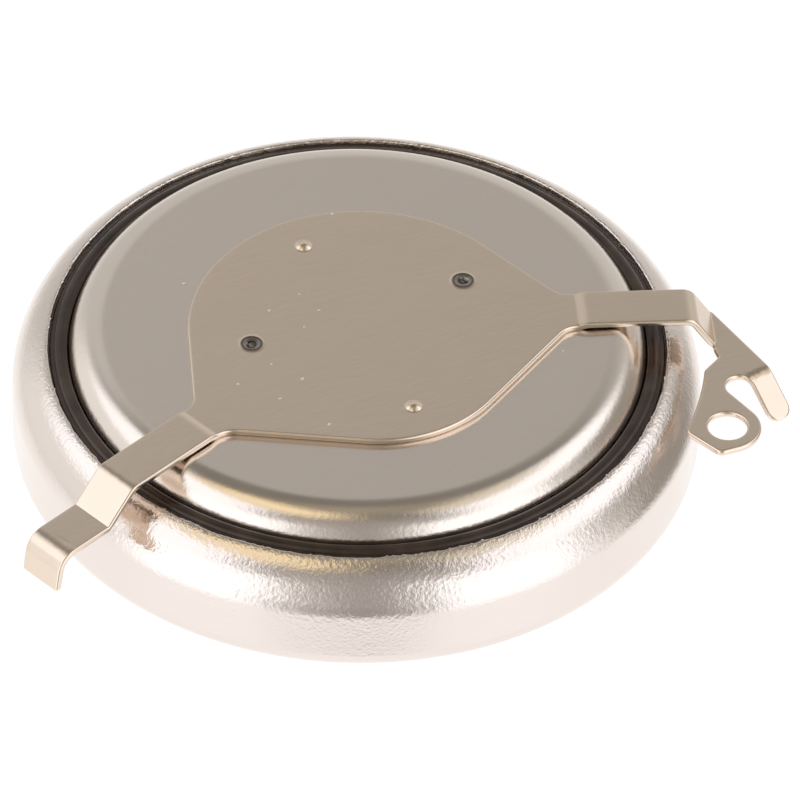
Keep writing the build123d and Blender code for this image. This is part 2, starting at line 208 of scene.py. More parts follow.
def rounded_corner(before, corner, after, radius, count):
    """Points of the arc that touches both sides of a corner.

    Its ends lie radius over tan of half the corner's angle from the corner, and its centre lies
    radius over sin of that half angle along the bisector."""
    back = (before - corner) / np.linalg.norm(before - corner)
    ahead = (after - corner) / np.linalg.norm(after - corner)
    half = acos(np.clip(back @ ahead, -1, 1)) / 2
    centre = corner + (back + ahead) / np.linalg.norm(back + ahead) * radius / sin(half)
    first = corner + back * radius / tan(half) - centre
    last = corner + ahead * radius / tan(half) - centre
    start = degrees(atan2(first[1], first[0]))
    sweep = (degrees(atan2(last[1], last[0])) - start + 180) % 360 - 180
    return arc(centre, radius, start, start + sweep, count)


def meeting_point(first, first_direction, second, second_direction):
    """Point where two lines meet, each given by a point and a direction."""
    along = polar(1, first_direction)
    across = polar(1, second_direction + 90)
    return first + along * ((second - first) @ across) / (along @ across)


def tangent_direction(start, centre, radius, side):
    """Direction of the line from start that touches a circle, on its left for 1 and its right for -1."""
    reach = centre - start
    return degrees(atan2(reach[1], reach[0]) + side * asin(radius / np.linalg.norm(reach)))


def spaced(loop, gap):
    """Closed loop with its sides divided evenly, so that no side is longer than the gap."""
    steps = np.roll(loop, -1, axis=0) - loop
    loop = loop[np.hypot(*steps.T) > LEAST_SIDE]
    steps = np.roll(loop, -1, axis=0) - loop
    pieces = np.maximum(np.ceil(np.hypot(*steps.T) / gap), 1).astype(int)
    start = np.repeat(np.arange(len(loop)), pieces)
    first = np.repeat(np.cumsum(pieces) - pieces, pieces)
    share = (np.arange(pieces.sum()) - first) / pieces[start]
    return loop[start] + steps[start] * share[:, None]


def inward_miters(loop):
    """Direction into the sheet at each point of a loop that has the sheet on its left.

    It is the mean of the two sides' left normals, lengthened so that both sides move in by one."""
    ahead = np.roll(loop, -1, axis=0) - loop
    ahead /= np.linalg.norm(ahead, axis=1)[:, None]
    left = np.column_stack([-ahead[:, 1], ahead[:, 0]])
    mean = left + np.roll(left, 1, axis=0)
    mean /= np.linalg.norm(mean, axis=1)[:, None]
    return mean / np.maximum((mean * left).sum(axis=1), LEAST_COSINE)[:, None]


# Meshes


def add_piece(name, shape, material, node=None):
    """Mesh object from points in millimetres and triangles, shaded by area-weighted normals.

    Each normal is the sum of the cross products of the triangles round the point."""
    points, triangles = np.asarray(shape[0], float) / METRE, np.asarray(shape[1], np.int32)
    corners = points[triangles]
    facing = np.cross(corners[:, 1] - corners[:, 0], corners[:, 2] - corners[:, 0])
    normals = np.zeros_like(points)
    for corner in range(3):
        np.add.at(normals, triangles[:, corner], facing)
    normals /= np.maximum(np.linalg.norm(normals, axis=1), np.finfo(float).tiny)[:, None]
    mesh = bpy.data.meshes.new(name)
    mesh.vertices.add(len(points))
    mesh.vertices.foreach_set("co", points.ravel())
    mesh.loops.add(triangles.size)
    mesh.loops.foreach_set("vertex_index", triangles.ravel())
    mesh.polygons.add(len(triangles))
    mesh.polygons.foreach_set("loop_start", np.arange(0, triangles.size, 3))
    mesh.polygons.foreach_set("use_smooth", np.ones(len(triangles), bool))
    mesh.update(calc_edges=True)
    if mesh.validate():
        raise RuntimeError(f"{name} has faces that Blender had to mend")
    mesh.normals_split_custom_set_from_vertices(normals)
    mesh.materials.append(material)
    piece = bpy.data.objects.new(name, mesh)
    bpy.context.scene.collection.objects.link(piece)
    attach(piece, "root")
    if node:
        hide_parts(node)


def grid_triangles(rows, columns, closed_rows):
    """Triangles of a grid of points whose columns close on themselves, and whose rows may too."""
    row, column = np.arange(rows if closed_rows else rows - 1)[:, None], np.arange(columns)[None, :]
    above, beside = (row + 1) % rows, (column + 1) % columns
    here, right = row * columns + column, row * columns + beside
    over, across = above * columns + column, above * columns + beside
    return np.concatenate([np.stack([here, right, across], -1).reshape(-1, 3),
                           np.stack([here, across, over], -1).reshape(-1, 3)])


def turned(profile, segments, poles, shift=(0, 0)):
    """Surface swept by a profile of radius and height about Z: x = r cos t, y = r sin t, z = height.

    Shift adds a radius and a height to each point of the grid. With poles, the profile starts and ends
    on the axis, and a fan closes each end; without, it is a closed loop."""
    ring = profile[1:-1] if poles else profile
    turn = np.linspace(0, 2 * pi, segments, endpoint=False)
    radius = np.repeat(ring[:, :1], segments, axis=1) + shift[0]
    height = np.repeat(ring[:, 1:], segments, axis=1) + shift[1]
    points = np.stack([radius * np.cos(turn), radius * np.sin(turn), height], -1).reshape(-1, 3)
    triangles = grid_triangles(len(ring), segments, not poles)
    if not poles:
        return points, triangles
    here = np.arange(segments)
    beside = (here + 1) % segments
    first, last = len(points), len(points) + 1
    top = (len(ring) - 1) * segments
    start = np.column_stack([np.full(segments, first), beside, here])
    end = np.column_stack([np.full(segments, last), top + here, top + beside])
    ends = [[0, 0, profile[0, 1]], [0, 0, profile[-1, 1]]]
    return np.concatenate([points, ends]), np.concatenate([triangles, start, end])


def ring_noise(segments, knots, generator):
    """Periodic noise round a ring: random values at evenly spaced knots, joined by straight lines."""
    values = generator.random(knots)
    place = np.arange(segments) / segments * knots
    return np.interp(place, np.arange(knots + 1), np.append(values, values[0]))


# Turned pieces of the cell

# Points round the can, and round the gasket and the cap
CAN_SEGMENTS, RING_SEGMENTS = 960, 480
# How far the first ring of a flat lies from the bend beside it, and the next one of the cap's top, in
# millimetres
NEAR_BEND, NEXT_RING = 0.02, 0.2
# Part of the roll's arc that the lip's rounding takes up, in degrees, and reach of the burr, in millimetres
LIP_SWEEP, BURR_REACH = 3.2, 0.075
# The burr round the lip: knots of its coarse noise, its fine noise and its spikes, the share of each, and
# the seed of all three. The spikes are a high power of their noise, where the coarse one is above a level
BURR_KNOTS, BURR_SHARES = (130, 360, 960), (0.45, 0.5, 0.9)
BURR_SEED, SPIKE_POWER, SPIKES_ABOVE = 11, 6, 0.45
# How far the burr leans inwards and rises as shares of its height, its level that neither lifts nor lowers
# the lip, and how fast it fades
BURR_INWARDS, BURR_RISE, BURR_LEVEL, BURR_FADE = 0.9, 0.3, 0.6, 1.5
# Top of the gasket, in millimetres. It leaves the can's inner skin at WALL_END below the gasket's top. The
# ledge's first points are given inwards from there and below the top, and its last inwards from the lip.
# The bead runs on from there, and ends beside the cap, where two more points lead down
WALL_END, LEDGE, LEDGE_END = 0.072, ((0.006, 0.064), (0.020, 0.060)), (0.088, 0.060)
BEAD_START, BEAD_END, BEAD_HEIGHT = 0.094, 0.004, 0.055
BESIDE_CAP = ((0.001, 0.062), (0, 0.090))
# Chamfer of the gasket's inner lip, in millimetres
INNER_CHAMFER = 0.03


def in_millimetres(group):
    """Values of a property group by name, with lengths in millimetres and angles in degrees."""
    scale = {"LENGTH": METRE, "ROTATION": degrees(1)}
    return SimpleNamespace(**{key: getattr(group, key) * scale[group.bl_rna.properties[key].unit]
                              for key in group.__annotations__})


def cell_sizes(context):
    """Sizes of the cell with the ones that follow from them."""
    size = in_millimetres(context.scene.coin_cell_sizes)
    size.can_radius = size.can_diameter / 2
    size.can_height = size.cell_height - size.cap_proud
    size.cavity_radius = size.can_radius - size.can_wall
    size.skirt_radius = size.cavity_radius - size.gasket_wall
    size.cap_radius = size.skirt_radius - size.cap_step_width
    size.flat_radius = size.cap_radius - size.cap_shoulder_radius
    size.step_z = size.can_height - size.cap_step_drop
    size.skirt_end_z = size.can_wall + size.gasket_base
    size.lip_top_z = size.step_z - size.cap_wall - size.gasket_lip_gap
    size.mouth_radius = size.cap_radius + size.mouth_gap
    size.gasket_top_z = size.can_height - size.gasket_recess
    size.bore_radius = size.skirt_radius - size.cap_wall - size.gasket_lip_wall
    roll_r = size.can_radius - size.crimp_radius
    size.roll_end = degrees(acos((size.mouth_radius - roll_r) / size.crimp_radius))
    size.roll_z = size.can_height - size.crimp_radius * sin(radians(size.roll_end))
    size.roll_centre = np.array([roll_r, size.roll_z])
    size.lip = size.roll_centre + polar(size.crimp_radius, size.roll_end)
    size.foot_centre = np.array([size.can_radius - size.can_corner_radius, size.can_corner_radius])
    return size


def inner_wall(size):
    """Profile of the can's inner skin from its floor to its lip: foot bend, side and roll."""
    foot = arc(size.foot_centre, size.can_corner_radius - size.can_wall, -90, 0, count=8)
    roll = arc(size.roll_centre, size.crimp_radius - size.can_wall, 0, size.roll_end, count=18)
    return np.concatenate([foot, roll])


def can_profile(size):
    """Profile of the can from the underside's middle, up the side, over the roll and back down inside.

    Straight floor and side, a quarter circle at the foot, the roll's arc, and a cut lip whose two edges
    are rounded. Returns the profile and how much each point takes part in the lip's burr."""
    foot_r, foot_z = size.foot_centre
    across = np.append(np.linspace(0, foot_r, num=9)[:-1], foot_r - NEAR_BEND)
    floor = np.column_stack([across, np.zeros(len(across))])
    foot = arc(size.foot_centre, size.can_corner_radius, -90, 0, count=16)
    up = np.linspace(foot_z, size.roll_z, num=5)[1:-1]
    side = np.column_stack([np.full(len(up), size.can_radius), up])
    roll = arc(size.roll_centre, size.crimp_radius, 0, size.roll_end - LIP_SWEEP, count=34)
    inner = inner_wall(size)[::-1]
    lip = rounded_corner(roll[-1], size.lip, inner[0], size.lip_rounding, count=6)
    root = rounded_corner(size.lip, inner[0], inner[1], size.lip_rounding, count=4)
    back = np.linspace(inner[-1][0] - NEAR_BEND, 0, num=6)
    top = np.column_stack([back, np.full(len(back), size.can_wall)])
    profile = np.concatenate([floor, foot, side, roll, lip, root, inner[1:], top])
    reach = np.hypot(*(profile - size.lip).T)
    return profile, np.clip(1 - reach / BURR_REACH, 0, 1)


def lip_burr(size, share):
    """Radius and height that the ragged burr adds to each point of the can, apart from its poles.

    It is the sum of three noises round the ring, times the burr's height and a power of each point's
    share in it. It leans into the mouth, and rises where it is above its level."""
    generator = np.random.default_rng(BURR_SEED)
    coarse, fine, spikes = (ring_noise(CAN_SEGMENTS, knots, generator) for knots in BURR_KNOTS)
    spikes = spikes ** SPIKE_POWER * (coarse > SPIKES_ABOVE)
    burr = BURR_SHARES[0] * (coarse - 0.5) + BURR_SHARES[1] * (fine - 0.5) + BURR_SHARES[2] * spikes
    weight = size.lip_burr * share[1:-1, None] ** BURR_FADE
    return -BURR_INWARDS * burr * weight, BURR_RISE * (burr - BURR_LEVEL) * weight


def cap_skin(size, depth):
    """Profile of the cap's skin at a depth into its wall, from below the shoulder to the skirt's end."""
    bend = size.cap_bend_radius
    outer = bend + size.cap_wall
    root = arc((size.cap_radius + bend, size.step_z + bend), bend + depth, 180, 270, count=8)
    edge = arc((size.skirt_radius - outer, size.step_z - outer), outer - depth, 90, 0, count=10)
    return np.concatenate([root, edge, [(size.skirt_radius - depth, size.skirt_end_z)]])


def cap_profile(size):
    """Profile of the cap: ceiling, inner shoulder and skirt, then the outer skirt, shoulder and top."""
    centre = (size.flat_radius, size.cell_height - size.cap_shoulder_radius)
    out = np.linspace(0, size.flat_radius - NEAR_BEND, num=6)
    ceiling = np.column_stack([out, np.full(len(out), size.cell_height - size.cap_wall)])
    inside = arc(centre, size.cap_shoulder_radius - size.cap_wall, 90, 0, count=14)
    outside = arc(centre, size.cap_shoulder_radius, 0, 90, count=40)
    back = np.append(size.flat_radius - NEAR_BEND, np.linspace(size.flat_radius - NEXT_RING, 0, num=9))
    top = np.column_stack([back, np.full(len(back), size.cell_height)])
    inner_skirt, outer_skirt = cap_skin(size, size.cap_wall), cap_skin(size, 0)[::-1]
    return np.concatenate([ceiling, inside, inner_skirt, outer_skirt, outside, top])


def gasket_profile(size):
    """Closed section of the gasket: out along the floor, up the can's inner skin, in over its top, and
    down round the cap's skirt to the lip inside it.

    The top has a low ledge beside the can's lip, then a rounded bead that falls to the cap: half a wave
    of the sine, on points spaced by the cosine."""
    inner, top_z, lip_r = inner_wall(size), size.gasket_top_z, size.lip[0]
    rise = (top_z - WALL_END - inner[-1][1]) / (size.lip[1] - inner[-1][1])
    shoulder = inner[-1] + (size.lip - inner[-1]) * rise
    ledge = [(shoulder[0] - inwards, top_z - below) for inwards, below in LEDGE]
    ledge.append((lip_r - LEDGE_END[0], top_z - LEDGE_END[1]))
    share = np.linspace(0, 1, num=18)
    start, end = lip_r - BEAD_START, size.cap_radius + BEAD_END
    crown = np.column_stack([start + (end - start) * (1 - np.cos(pi * share)) / 2,
                             top_z - BEAD_HEIGHT + BEAD_HEIGHT * np.sin(pi * share)])
    side = [(size.cap_radius + out, top_z - below) for out, below in BESIDE_CAP]
    skirt_r = size.skirt_radius - size.cap_wall
    under = [(skirt_r, size.skirt_end_z), (skirt_r, size.lip_top_z - INNER_CHAMFER),
             (skirt_r - INNER_CHAMFER, size.lip_top_z), (size.bore_radius + INNER_CHAMFER, size.lip_top_z),
             (size.bore_radius, size.lip_top_z - INNER_CHAMFER), (size.bore_radius, size.can_wall)]
    return np.concatenate([inner, [shoulder], ledge, crown, side, cap_skin(size, 0), under])


# Terminal tab

# In millimetres: flat run at the start of each bent path, room between the plate's fillets and the joggle,
# and how far past its path's start an arm begins
LEAD_IN, JOGGLE_ROOM, ARM_START = 0.2, 0.01, 0.01
# Corner radii of the blank in millimetres: the toe, the lug's heel and eye, its far edge and its notch
TOE_CORNER, HEEL_CORNER, EDGE_CORNER, NOTCH_CORNER = 0.05, 0.12, 0.06, 0.03
# Where the lug levels out, in millimetres: width of the change beside the arm, and its start past the
# joggle
LEVEL_WIDTH, LEVEL_START = 0.10, 0.3
# How far before its bend line the finger begins, in millimetres
FINGER_START = 0.06
# Longest side of the blank's edge in millimetres, and rings of its lower and its upper rounded edge
EDGE_SPACING, EDGE_RINGS = 0.034, (4, 6)
# Points inside the blank, each range with its ends and its step in millimetres: rows of the plate, and rows
# of the lug along and across its arm. The arms have a step, half a width and a number of rows
PLATE_X, PLATE_Y = (-3.2, 3.2, 0.11), (-2.6, 2.4, 0.10)
LUG_ALONG, LUG_ACROSS = (4.3, 6.6, 0.045), (-2.9, -0.36, 0.03)
ARM_STEP, ARM_HALF_WIDTH, ARM_ROWS, RIGHT_ARM_RUN = 0.021, 0.29, 9, 4.2
# Rings round a weld and round a pip: least and greatest radius in millimetres, rings, and points on each
WELD_RINGS, PIP_RINGS = (0.008, 0.26, 34, 44), (0.006, 0.17, 26, 40)
# How far the plate's rows keep from a mark, and all points from an edge, in millimetres
MARK_ROOM, EDGE_ROOM = 0.33, 0.042
# A weld in millimetres: height and half width of its bead, depth and half width of its dish, and depth,
# place and half width of its pit. The pit's half sweep and the directions of both pits are in degrees
BEAD_RISE, BEAD_WIDTH, DISH_DEPTH, DISH_WIDTH = 0.013, 0.026, 0.010, 0.085
PIT_DEPTH, PIT_PLACE, PIT_WIDTH = 0.030, 0.048, 0.022
PIT_SWEEP, PIT_TURNS = 75, (205, 20)
# Power of the pips' dome, half width of the foot's crease, and where and how softly it ends, in millimetres
PIP_POWER, CREASE_WIDTH, CREASE_END, CREASE_FADE = 1.15, 0.016, 0.05, 0.06


def tab_sizes(context):
    """Sizes of the tab with the corners that follow from them, all in plan."""
    cell = cell_sizes(context)
    size = in_millimetres(context.scene.terminal_tab_sizes)
    size.tab_z = cell.cell_height
    size.arm_z = size.tab_z + size.joggle_rise
    size.rim_radius = cell.can_radius + size.rim_gap
    size.step_start = cell.can_radius - size.step_inset
    size.left, size.right = 180 + size.arm_droop, -size.arm_droop
    size.top_centre = np.array([0, size.plate_top_y])
    size.bottom_centre = np.array([0, size.plate_bottom_y])
    size.top_touch = size.top_centre + polar(size.plate_top_radius, size.plate_top_taper)
    size.bottom_touch = size.bottom_centre + polar(size.plate_bottom_radius, -size.plate_bottom_taper)
    size.upper_corner = meeting_point(size.top_touch, size.plate_top_taper - 90,
                                      arm_point(size, 0, 1), size.right)
    size.lower_corner = meeting_point(size.bottom_touch, 90 - size.plate_bottom_taper,
                                      arm_point(size, 0, -1), size.right)
    upper = size.plate_fillet_radius * tan(radians(90 - size.plate_top_taper - size.arm_droop) / 2)
    lower = size.plate_fillet_radius * tan(radians(90 - size.plate_bottom_taper + size.arm_droop) / 2)
    arm = polar(1, size.right)
    fillet_end = max(size.upper_corner @ arm + upper, size.lower_corner @ arm + lower)
    size.joggle_start = fillet_end + JOGGLE_ROOM
    return size


def from_axis(along, across, direction):
    """Points at distances along a direction from the axis and across it, on its left where positive."""
    return np.outer(along, polar(1, direction)) + np.outer(across, polar(1, direction + 90))


def arm_point(size, distance, side):
    """Point on the right arm's edge, on its left for 1 and its right for -1, seen from the axis."""
    return polar(distance, size.right) + polar(side * size.arm_width / 2, size.right + 90)


def rim_direction(size, distance):
    """Direction from the axis to a place along the lug's rim, counted from the middle of the right arm."""
    return size.right - degrees(distance / size.rim_radius)


def along_rim(size, distance, standoff):
    """Point outside the lug's rim, at a distance along that rim from the middle of the right arm."""
    return polar(size.rim_radius + standoff, rim_direction(size, distance))


def bent_path(points, radii):
    """Line through points with arcs at its corners, as four arrays for interpolation.

    They are the length along it, then the distance, height and slope that it has there."""
    points = np.asarray(points, float)
    corners = [rounded_corner(*points[place:place + 3], radius, count=13)
               for place, radius in enumerate(radii)]
    path = np.concatenate([points[:1], *corners, points[-1:]])
    chord = np.diff(path, axis=0)
    lengths = np.append(0, np.cumsum(np.hypot(*chord.T)))
    heading = np.arctan2(chord[:, 1], chord[:, 0])
    slope = (np.append(heading[0], heading) + np.append(heading, heading[-1])) / 2
    return lengths, path[:, 0], path[:, 1], slope


def arm_paths(size):
    """Underside paths of the left arm, the right arm and the finger, each from its flat start."""
    start, stop = size.joggle_start, size.joggle_start + size.joggle_length
    base = [(start - LEAD_IN, size.tab_z), (start, size.tab_z), (stop, size.arm_z)]
    foot = size.step_start + size.foot_step_length
    heel = foot + size.foot_length
    foot_z, lug_z = size.arm_z - size.foot_drop, size.arm_z - size.lug_drop
    lug = size.step_start + size.lug_step_length
    bends = [size.joggle_radius, size.joggle_radius, size.arm_bend_radius, size.arm_bend_radius]
    left = bent_path([*base, (size.step_start, size.arm_z), (foot, foot_z), (heel, foot_z),
                      (heel + size.toe_length, foot_z - size.toe_drop)], [*bends, size.foot_bend_radius])
    right = bent_path([*base, (size.step_start, size.arm_z - size.lug_arm_sag), (lug, lug_z),
                       (lug + size.lug_landing, lug_z)], [*bends[:3], size.lug_bend_radius])
    fall = radians(size.finger_bend)
    finger = bent_path([(-LEAD_IN, lug_z), (0, lug_z),
                        (size.finger_length * cos(fall), lug_z - size.finger_length * sin(fall))],
                       [size.finger_bend_radius])
    start -= LEAD_IN
    return SimpleNamespace(left=left, right=right, finger=finger, lug_z=lug_z, lug_start=lug, start=start,
                           left_end=start + left[0][-1], finger_end=finger[0][-1] - LEAD_IN,
                           stretch=start + right[0][-1] - lug - size.lug_landing)


def lug_edge(size, paths):
    """Edge of the lug in plan, the corner where the finger leaves its outer edge, and the eye's centre.

    The edge runs from the arm past the notch and along the rim to the heel, round the eye, up to the
    slot, round the finger and back along the outer edge to the arm: straight lines and arcs in turn."""
    outer = size.lug_edge_angle
    edge_start = arm_point(size, paths.lug_start + size.lug_landing, 1)
    edge_end = edge_start + polar(size.lug_edge_length, outer)
    ahead, across = polar(1, outer), polar(1, outer + 90)
    finger_root = edge_end - size.finger_width * across
    slot_side = finger_root - (size.slot_past_bend - size.slot_radius) * ahead
    slot_centre = slot_side - size.slot_radius * across
    eye_centre = along_rim(size, size.eye_distance, size.eye_standoff)
    neck = tangent_direction(slot_centre, eye_centre, size.slot_radius + size.eye_radius, 1)
    eye_corner = eye_centre + polar(size.eye_corner_radius, size.eye_corner_angle)
    corner_line = tangent_direction(eye_corner, eye_centre, size.eye_radius, -1)
    neck_corner = along_rim(size, size.neck_distance, 0)
    notch = along_rim(size, size.relief_distance, size.relief_depth)
    arm_lower = arm_point(size, paths.lug_start, -1)
    notch_bend = rounded_corner(arm_lower, notch, neck_corner, NOTCH_CORNER, count=5)
    rim_start = rim_direction(size, size.neck_distance)
    neck_bend = rounded_corner(notch, neck_corner, neck_corner + polar(1, rim_start - 90),
                               size.neck_corner_radius, count=8)
    skip = degrees(np.linalg.norm(neck_bend[-1] - neck_corner) / size.rim_radius)
    rim = arc((0, 0), size.rim_radius, rim_start - skip, rim_direction(size, size.heel_distance), count=24)
    # The bends at both ends take the place of the rim's first point and its last four
    heel = rounded_corner(rim[-5], rim[-1], eye_corner, HEEL_CORNER, count=8)
    rim, heel_corner = rim[1:-4], rim[-1]
    eye_point = rounded_corner(heel_corner, eye_corner, eye_corner + polar(1, corner_line),
                               HEEL_CORNER, count=8)
    eye_start = corner_line - 90
    eye = arc(eye_centre, size.eye_radius, eye_start, eye_start + (neck + 90 - eye_start) % 360, count=50)
    slot = arc(slot_centre, size.slot_radius, neck + 270, outer + 90, count=30)
    tip_near, tip_far = finger_root + paths.finger_end * ahead, edge_end + paths.finger_end * ahead
    tip = [rounded_corner(finger_root, tip_near, tip_far, size.finger_tip_radius, count=14),
           rounded_corner(tip_near, tip_far, edge_end, size.finger_tip_radius, count=14)]
    crown = rounded_corner(edge_end, edge_start, arm_point(size, paths.lug_start, 1), EDGE_CORNER, count=6)
    edge = [[arm_lower], notch_bend, neck_bend, rim, heel, eye_point, eye, slot, *tip, crown]
    return np.concatenate(edge), edge_end, eye_centre


def blank_loops(size, paths):
    """Outline and eye hole of the flat blank, with the sheet on the left of both, and the corner where
    the finger leaves the lug's outer edge.

    The plate is in plan. The arms have their developed length, so the lug lies further out along its
    arm by the length that the bends take up. The left arm's edges mirror the right arm's."""
    def mirrored(points):
        return points * [-1, 1]

    upper_end, lower_end = arm_point(size, size.joggle_start, 1), arm_point(size, size.joggle_start, -1)
    upper, lower = (rounded_corner(touch, corner, end, size.plate_fillet_radius, count=14)
                    for touch, corner, end in ((size.top_touch, size.upper_corner, upper_end),
                                               (size.bottom_touch, size.lower_corner, lower_end)))
    top = arc(size.top_centre, size.plate_top_radius, size.plate_top_taper,
              180 - size.plate_top_taper, count=90)
    bottom = arc(size.bottom_centre, size.plate_bottom_radius, 180 + size.plate_bottom_taper,
                 360 - size.plate_bottom_taper, count=40)
    toe_upper, toe_lower = arm_point(size, paths.left_end, 1), arm_point(size, paths.left_end, -1)
    toe = [mirrored(rounded_corner(upper_end, toe_upper, toe_lower, TOE_CORNER, count=6)),
           mirrored(rounded_corner(toe_upper, toe_lower, lower_end, TOE_CORNER, count=6))]
    lug, edge_end, eye_centre = lug_edge(size, paths)
    reach = paths.stretch * polar(1, size.right)
    outline = np.concatenate([top, mirrored(upper), *toe, mirrored(lower)[::-1], bottom, lower, lug + reach,
                              upper[::-1]])
    hole = arc(eye_centre + reach, size.eye_hole_radius, 0, -360, count=61)[:-1]
    return outline, hole, edge_end + reach


def formed(size, paths, edge_end, flat, lift):
    """Bends the blank: each point of the flat sheet goes to its place in space.

    On an arm, the distance along it is looked up in the arm's path, which gives distance, height and
    slope, and the point's lift stands square to the slope. The lug, beside its arm, keeps one level,
    and the finger is bent about the line where it leaves the lug."""
    result = np.column_stack([flat, size.tab_z + lift])
    for direction, path in ((size.left, paths.left), (size.right, paths.right)):
        heading, side = polar(1, direction), polar(1, direction + 90)
        along, across = flat @ heading, flat @ side
        distance, height, slope = (np.interp(along - paths.start, path[0], values) for values in path[1:])
        plan = from_axis(distance - lift * np.sin(slope), across, direction)
        bent = np.column_stack([plan, height + lift * np.cos(slope)])
        on_arm = along > paths.start + ARM_START
        result[on_arm] = bent[on_arm]
    # The right arm came last, so its directions now place the lug
    beyond = along - paths.start >= paths.right[0][-1]
    off = np.clip((-size.arm_width / 2 - across) / LEVEL_WIDTH, 0, 1)
    share = np.where(beyond, 1, off * off * (3 - 2 * off)) * (along > size.joggle_start + LEVEL_START)
    level = np.column_stack([flat - paths.stretch * heading, paths.lug_z + lift])
    result += (level - result) * share[:, None]
    outer = size.lug_edge_angle
    forward, sideways = (flat - edge_end) @ polar(1, outer), (flat - edge_end) @ polar(1, outer + 90)
    distance, height, slope = (np.interp(forward + LEAD_IN, paths.finger[0], values)
                               for values in paths.finger[1:])
    root = edge_end - paths.stretch * heading
    plan = root + from_axis(distance - lift * np.sin(slope), sideways, outer)
    in_finger = (forward > -FINGER_START) & (sideways > -size.finger_width - size.slot_radius)
    on_lug = share > 0.5
    on_finger = in_finger & on_lug
    result[on_finger] = np.column_stack([plan, height + lift * np.cos(slope)])[on_finger]
    return result


def inside_loop(points, loop):
    """Whether each point is inside a loop, by the even-odd count of the sides to its right."""
    ahead = np.roll(loop, -1, axis=0)
    x, y = points[:, :1], points[:, 1:]
    crosses = (loop[:, 1] > y) != (ahead[:, 1] > y)
    rise = np.where(ahead[:, 1] == loop[:, 1], 1, ahead[:, 1] - loop[:, 1])
    at = loop[:, 0] + (y - loop[:, 1]) * (ahead[:, 0] - loop[:, 0]) / rise
    return (crosses & (x < at)).sum(axis=1) % 2 == 1


def in_sheet(points, loops):
    """Whether each point is inside the blank's outline and outside its hole."""
    return inside_loop(points, loops[0]) & ~inside_loop(points, loops[1])


def rings(centre, least, greatest, steps, count):
    """Points on evenly spaced circles about a centre, every second circle turned by half a step."""
    radius = np.repeat(np.linspace(least, greatest, steps), count)
    turn = np.tile(np.arange(count), steps) + np.repeat(np.arange(steps) % 2 / 2, count)
    turn = turn * 2 * pi / count
    return centre + radius[:, None] * np.column_stack([np.cos(turn), np.sin(turn)])


def mark_places(size):
    """Centres of the two welds and of the two pips."""
    welds = [np.array([size.weld_offset + side * size.weld_spacing / 2, size.weld_y]) for side in (-1, 1)]
    pips = [np.array([size.pip_x, y]) for y in (size.pip_top_y, size.pip_bottom_y)]
    return welds, pips


def lattice(size, paths, loops):
    """Points inside the blank that carry its bends and marks, kept clear of its edges.

    Even rows over the plate, close rows across both arms and the lug, and rings round welds and pips."""
    x, y = np.meshgrid(np.arange(*PLATE_X), np.arange(*PLATE_Y))
    x = x + (np.arange(len(x)) % 2)[:, None] * PLATE_X[2] / 2
    plate = np.column_stack([x.ravel(), y.ravel()])
    for direction in (size.left, size.right):
        plate = plate[abs(plate @ polar(1, direction)) < paths.start]
    start, arm_rows = paths.start + ARM_START, np.linspace(-ARM_HALF_WIDTH, ARM_HALF_WIDTH, ARM_ROWS)
    ranges = ((size.left, np.arange(start, paths.left_end, ARM_STEP), arm_rows),
              (size.right, np.arange(start, paths.start + RIGHT_ARM_RUN, ARM_STEP), arm_rows),
              (size.right, np.arange(*LUG_ALONG), np.arange(*LUG_ACROSS)))
    rows = [from_axis(*(part.ravel() for part in np.meshgrid(along, across)), direction)
            for direction, along, across in ranges]
    welds, pips = mark_places(size)
    marks = [rings(place, *WELD_RINGS) for place in welds] + [rings(place, *PIP_RINGS) for place in pips]
    for place in welds + pips:
        plate = plate[np.hypot(*(plate - place).T) > MARK_ROOM]
    points = np.concatenate([plate, *rows, *marks])
    points = points[in_sheet(points, loops)]
    apart = points[:, None] - np.concatenate(loops)
    return points[np.hypot(apart[..., 0], apart[..., 1]).min(axis=1) > EDGE_ROOM]


def mark_heights(size, paths, flat):
    """Height that the welds, the pips and the foot's crease add to the upper skin.

    A weld is a low bead, a ring of Gaussian section, round a shallow dish with a curved pit beside its
    middle. A pip is a spherical cap that runs out into the plate. The crease is a groove of Gaussian
    section across half of the foot, just before its toe."""
    welds, pips = mark_places(size)
    height = np.zeros(len(flat))
    for turn, place in zip(PIT_TURNS, welds):
        away = flat - place
        reach = np.hypot(*away.T)
        bead = BEAD_RISE * np.exp(-((reach - size.weld_radius) / BEAD_WIDTH) ** 2)
        dish = -DISH_DEPTH * np.exp(-(reach / DISH_WIDTH) ** 4)
        around = np.degrees(np.arctan2(away[:, 1], away[:, 0]))
        off = np.abs((around - turn + 180) % 360 - 180)
        pit = -PIT_DEPTH * np.exp(-((reach - PIT_PLACE) / PIT_WIDTH) ** 2) * np.exp(-(off / PIT_SWEEP) ** 4)
        height += bead + dish + pit
    for place in pips:
        reach = np.hypot(*(flat - place).T) / size.pip_radius
        height += size.pip_height * np.clip(1 - reach ** 2, 0, 1) ** PIP_POWER
    along, across = flat @ polar(1, size.left), flat @ polar(1, size.left + 90)
    groove = np.exp(-((along - paths.left_end + size.crease_place) / CREASE_WIDTH) ** 2)
    return height - size.crease_depth * groove * np.clip((across + CREASE_END) / CREASE_FADE, 0, 1)


